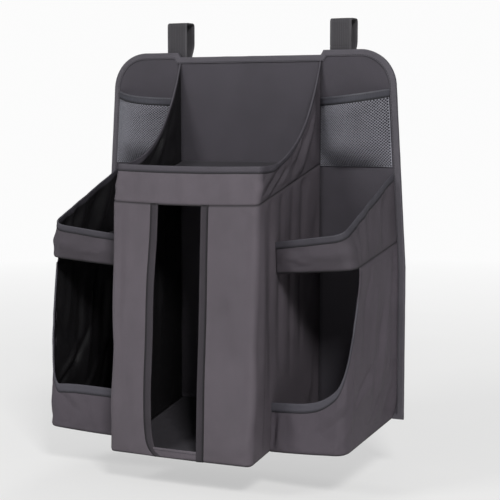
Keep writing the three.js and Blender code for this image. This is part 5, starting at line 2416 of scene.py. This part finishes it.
@dataclass
class NetPocket:
    """A pocket of netting under an elastic band, high on the panel."""

    side: Side
    panel: BackPanel
    inner: float = 119.0
    margin: float = 10.0
    bottom: float = 403.0
    top: float = 492.0
    rise: float = 12.0
    bulge: float = 34.0
    full: float = 0.4
    columns: int = 28
    rows: int = 24
    strand: float = 0.58
    band: float = 11.0

    FLAT = (0.118, 0.1)
    PLATE = 0.28
    NUDGE = 0.004
    BAND_LINES = (0.3, 0.9, 1.7, 2.6, 4.2, 5.8, 7.4, 8.6, 9.4, 10.2, 10.8)

    def at(self, u: Array, v: Array) -> Array:
        """Points of the bulging net.

        Args:
            u: shares across it.
            v: shares up it.

        Returns:
            The points.
        """
        height = self.bottom + (self.top + self.rise * u * u - self.bottom) * v
        outer = self.panel.half_width_at(height) - self.margin
        climb = np.minimum(1, v / self.full)
        bulge = self.bulge * np.sin(math.pi * u) * np.sin(math.pi / 2 * climb)
        x = self.side.value * (self.inner + (outer - self.inner) * u)
        return np.stack([x, -1.5 - bulge, height], axis=-1)

    def build(self, bench: Workbench) -> None:
        """Makes the net, its band and the stitches.

        Args:
            bench: where they are made.
        """
        name = f"net_pocket_{self.side.word}"
        piece = bench.add(f"{name}_net", self._net(), NETTING, "netting")
        u, rises = np.linspace(0, 1, 61), np.array(self.BAND_LINES)
        grid = np.repeat(self.at(u, np.ones(61))[None], len(rises), axis=0)
        grid[..., 2] += rises[:, None]
        band = Ply(grid, (0, -1, 0))
        band.push(0.25 * np.sin(u * 150)[None] * np.sin(math.pi * rises / self.band)[:, None] + 0.12)
        look = (ELASTIC, "hem_cloth", "stretched")
        bench.cloth(f"{name}_band", band, 2.0, *look, (FRONT_COVER,), LOWER, (Border.RIM,))
        stitching = Stitching(length=2.4)
        for border in SEAMS:
            stitching.sew(band.track(border, 2.0, 1.0))
        bench.stitches(f"{name}_stitching", stitching)

    def _net(self) -> Solid:
        """A knitted net: hexagonal gaps between strands that cross at slim knots.

        Returns:
            The net, as a plate with gaps.
        """
        columns, rows = 2 * self.columns, 2 * self.rows
        mid_width = self.panel.half_width_top - self.margin - self.inner
        half = (1 / columns - 0.72 * self.strand / mid_width, 1 / rows - 0.72 * self.strand / (self.top - self.bottom))
        flat: list[tuple[float, float]] = []
        known: dict[tuple[int, int], int] = {}
        faces: list[list[int]] = []

        def number(point: tuple[float, float]) -> int:
            """The number of a point, which is kept once.

            Args:
                point: shares across the net and up it.

            Returns:
                Its number.
            """
            key = (round(point[0] * 1e6), round(point[1] * 1e6))
            if key not in known:
                known[key] = len(flat)
                flat.append(point)
            return known[key]

        def is_open(i: int, j: int) -> bool:
            """Whether a place of the pattern is the middle of a gap."""
            return (i + j) % 2 == 0 and 0 < i < columns and 0 < j < rows

        for j in range(rows):
            for i in range(columns):
                ring = ((i, j), (i + 1, j), (i + 1, j + 1), (i, j + 1))
                corners = []
                for k, (a, b) in enumerate(ring):
                    ends = (ring[k - 1], ring[(k + 1) % 4]) if is_open(a, b) else ((a, b),)
                    for c, d in ends:
                        corners.append((a / columns + (c - a) * half[0], b / rows + (d - b) * half[1]))
                loop = [number(point) for point in corners]
                if len(loop) == 6:
                    faces += [loop[:4], [loop[0], loop[3], loop[4], loop[5]]]
                elif len(loop) == 4:
                    faces.append(loop)
                else:
                    faces += [[loop[0], a, b, b] for a, b in zip(loop[1:], loop[2:])]
        uv, quads = np.array(flat), np.array(faces)
        u, v = uv.T
        along = self.at(u + self.NUDGE, v) - self.at(u - self.NUDGE, v)
        up = self.at(u, v + self.NUDGE) - self.at(u, v - self.NUDGE)
        off = unit(np.cross(along, up)) * self.PLATE
        middle = self.at(u, v)
        points = np.concatenate([middle + off, middle - off])
        closed = np.concatenate([quads, quads[:, ::-1] + len(uv), self._sides(quads, len(uv))])
        return Solid(points, closed, np.tile(uv * self.FLAT, (2, 1)))

    @staticmethod
    def _sides(quads: Array, count: int) -> Array:
        """Faces that close a plate along its free edges.

        Args:
            quads: the faces of its first side.
            count: how many points that side has.

        Returns:
            The faces.
        """
        edges = np.concatenate([quads[:, [k, (k + 1) % 4]] for k in range(4)])
        edges = edges[edges[:, 0] != edges[:, 1]]
        keys = edges[:, 0].astype(np.int64) * count + edges[:, 1]
        back = edges[:, 1].astype(np.int64) * count + edges[:, 0]
        free = edges[~np.isin(keys, back)]
        return np.stack([free[:, 1], free[:, 0], free[:, 0] + count, free[:, 1] + count], axis=1)


@dataclass
class Studio:
    """The floor, the lamps and the camera."""

    azimuth: float = 25.88
    elevation: float = 5.70
    distance: float = 2.116
    aim: Point = (0.0023, -0.0197, -0.344)
    lens: float = 100.0
    floor_level: float = -0.665

    MIDDLE = (0, -0.05, -0.32)
    WHITE = (0.97, 0.97, 0.97, 1)
    SKY = (0.93, 0.96, 1.0, 1)
    SKY_STRENGTH = 0.18
    FLOOR_REACH = 14.0
    FLOOR_SIDES = 96

    def build(self) -> None:
        """Sets the stage."""
        bpy.context.scene.view_settings.view_transform = "Standard"
        self._world()
        self._floor()
        self._lamp("key", (-1.5, -2.4, 1.5), size=1.0, power=31)
        self._lamp("fill", (1.75, -2.4, 1.75), size=0.7, power=68)
        self._lamp("back", (-0.6, 2.4, 1.3), size=1.6, power=24)
        self._camera()

    def _world(self) -> None:
        """A soft even sky, seen as white."""
        world = bpy.data.worlds.new("studio")
        nodes = Nodes(world)
        soft = nodes.add("ShaderNodeBackground", {"Color": self.SKY, "Strength": self.SKY_STRENGTH}).outputs[0]
        seen = nodes.add("ShaderNodeBackground", {"Color": self.WHITE}).outputs[0]
        path = nodes.add("ShaderNodeLightPath").outputs
        straight = nodes.maths("MAXIMUM", path["Is Camera Ray"], path["Is Transmission Ray"])
        mix = nodes.add("ShaderNodeMixShader", {0: straight, 1: soft, 2: seen}).outputs[0]
        nodes.add("ShaderNodeOutputWorld", {"Surface": mix})
        bpy.context.scene.world = world

    def _floor(self) -> None:
        """A wide pale disc that fades to the sky's white far from the object."""
        turns = [2 * math.pi * k / self.FLOOR_SIDES for k in range(self.FLOOR_SIDES)]
        reach = self.FLOOR_REACH
        ring = [(reach * math.cos(turn), reach * math.sin(turn), self.floor_level) for turn in turns]
        mesh = bpy.data.meshes.new("floor")
        mesh.from_pydata(ring, [], [list(range(self.FLOOR_SIDES))])
        material = bpy.data.materials.new("pale floor")
        nodes = Nodes(material)
        solid = nodes.add("ShaderNodeTexCoord").outputs["Object"]
        tone = nodes.span(nodes.noise(solid, 3.0, 4.0), 0.3, 0.7, 0.0, 1.0)
        colour = nodes.blend(tone, linear((236, 235, 233)), linear((241, 240, 238)))
        pale = nodes.add("ShaderNodeBsdfPrincipled", {"Base Color": colour, "Roughness": 0.9}).outputs[0]
        length = nodes.add("ShaderNodeVectorMath", {0: solid}, operation="LENGTH").outputs["Value"]
        seen = nodes.add("ShaderNodeLightPath").outputs["Is Camera Ray"]
        share = nodes.times(nodes.span(length, 0.6, 3.0, 0.5, 1.0), seen)
        glow = nodes.add("ShaderNodeEmission", {"Color": self.WHITE}).outputs[0]
        mix = nodes.add("ShaderNodeMixShader", {0: share, 1: pale, 2: glow}).outputs[0]
        nodes.add("ShaderNodeOutputMaterial", {"Surface": mix})
        mesh.materials.append(material)
        floor = bpy.data.objects.new("floor", mesh)
        bpy.context.scene.collection.objects.link(floor)

    def _lamp(self, name: str, place: Point, size: float, power: float) -> None:
        """Hangs a soft square lamp that looks at the object's middle.

        Args:
            name: its name.
            place: where it hangs, in metres.
            size: its side, in metres.
            power: its power, in watts.
        """
        data = bpy.data.lights.new(name, "AREA")
        data.shape, data.size, data.energy = "SQUARE", size, power
        lamp = bpy.data.objects.new(name, data)
        lamp.location = place
        way = Vector(self.MIDDLE) - Vector(place)
        lamp.rotation_euler = way.to_track_quat("-Z", "Y").to_euler()
        bpy.context.scene.collection.objects.link(lamp)

    def _camera(self) -> None:
        """The camera at the photograph's place."""
        azimuth, pitch = math.radians(self.azimuth), math.radians(self.elevation)
        back = Vector((math.sin(azimuth) * math.cos(pitch), -math.cos(azimuth) * math.cos(pitch), math.sin(pitch)))
        data = bpy.data.cameras.new("camera")
        data.lens, data.sensor_width = self.lens, 36
        data.clip_start, data.clip_end = 0.05, 60
        camera = bpy.data.objects.new("camera", data)
        camera.location = Vector(self.aim) + back * self.distance
        camera.rotation_euler = (-back).to_track_quat("-Z", "Y").to_euler()
        bpy.context.scene.collection.objects.link(camera)
        bpy.context.scene.camera = camera


def main() -> None:
    """Builds the organizer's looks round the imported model, and the studio round it."""
    logging.basicConfig(level=logging.INFO, format="%(message)s")
    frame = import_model()
    bench = Workbench(frame["nodes"])
    panel = BackPanel()
    panel.build(bench)
    WipeTray().build(bench)
    Stacker().build(bench)
    for side in Side:
        Strap(side).build(bench)
        SidePocket(side, panel).build(bench)
        NetPocket(side, panel).build(bench)
    Studio().build()
    LOG.info("%d pieces made", bench.made)


if __name__ == "__main__":
    main()
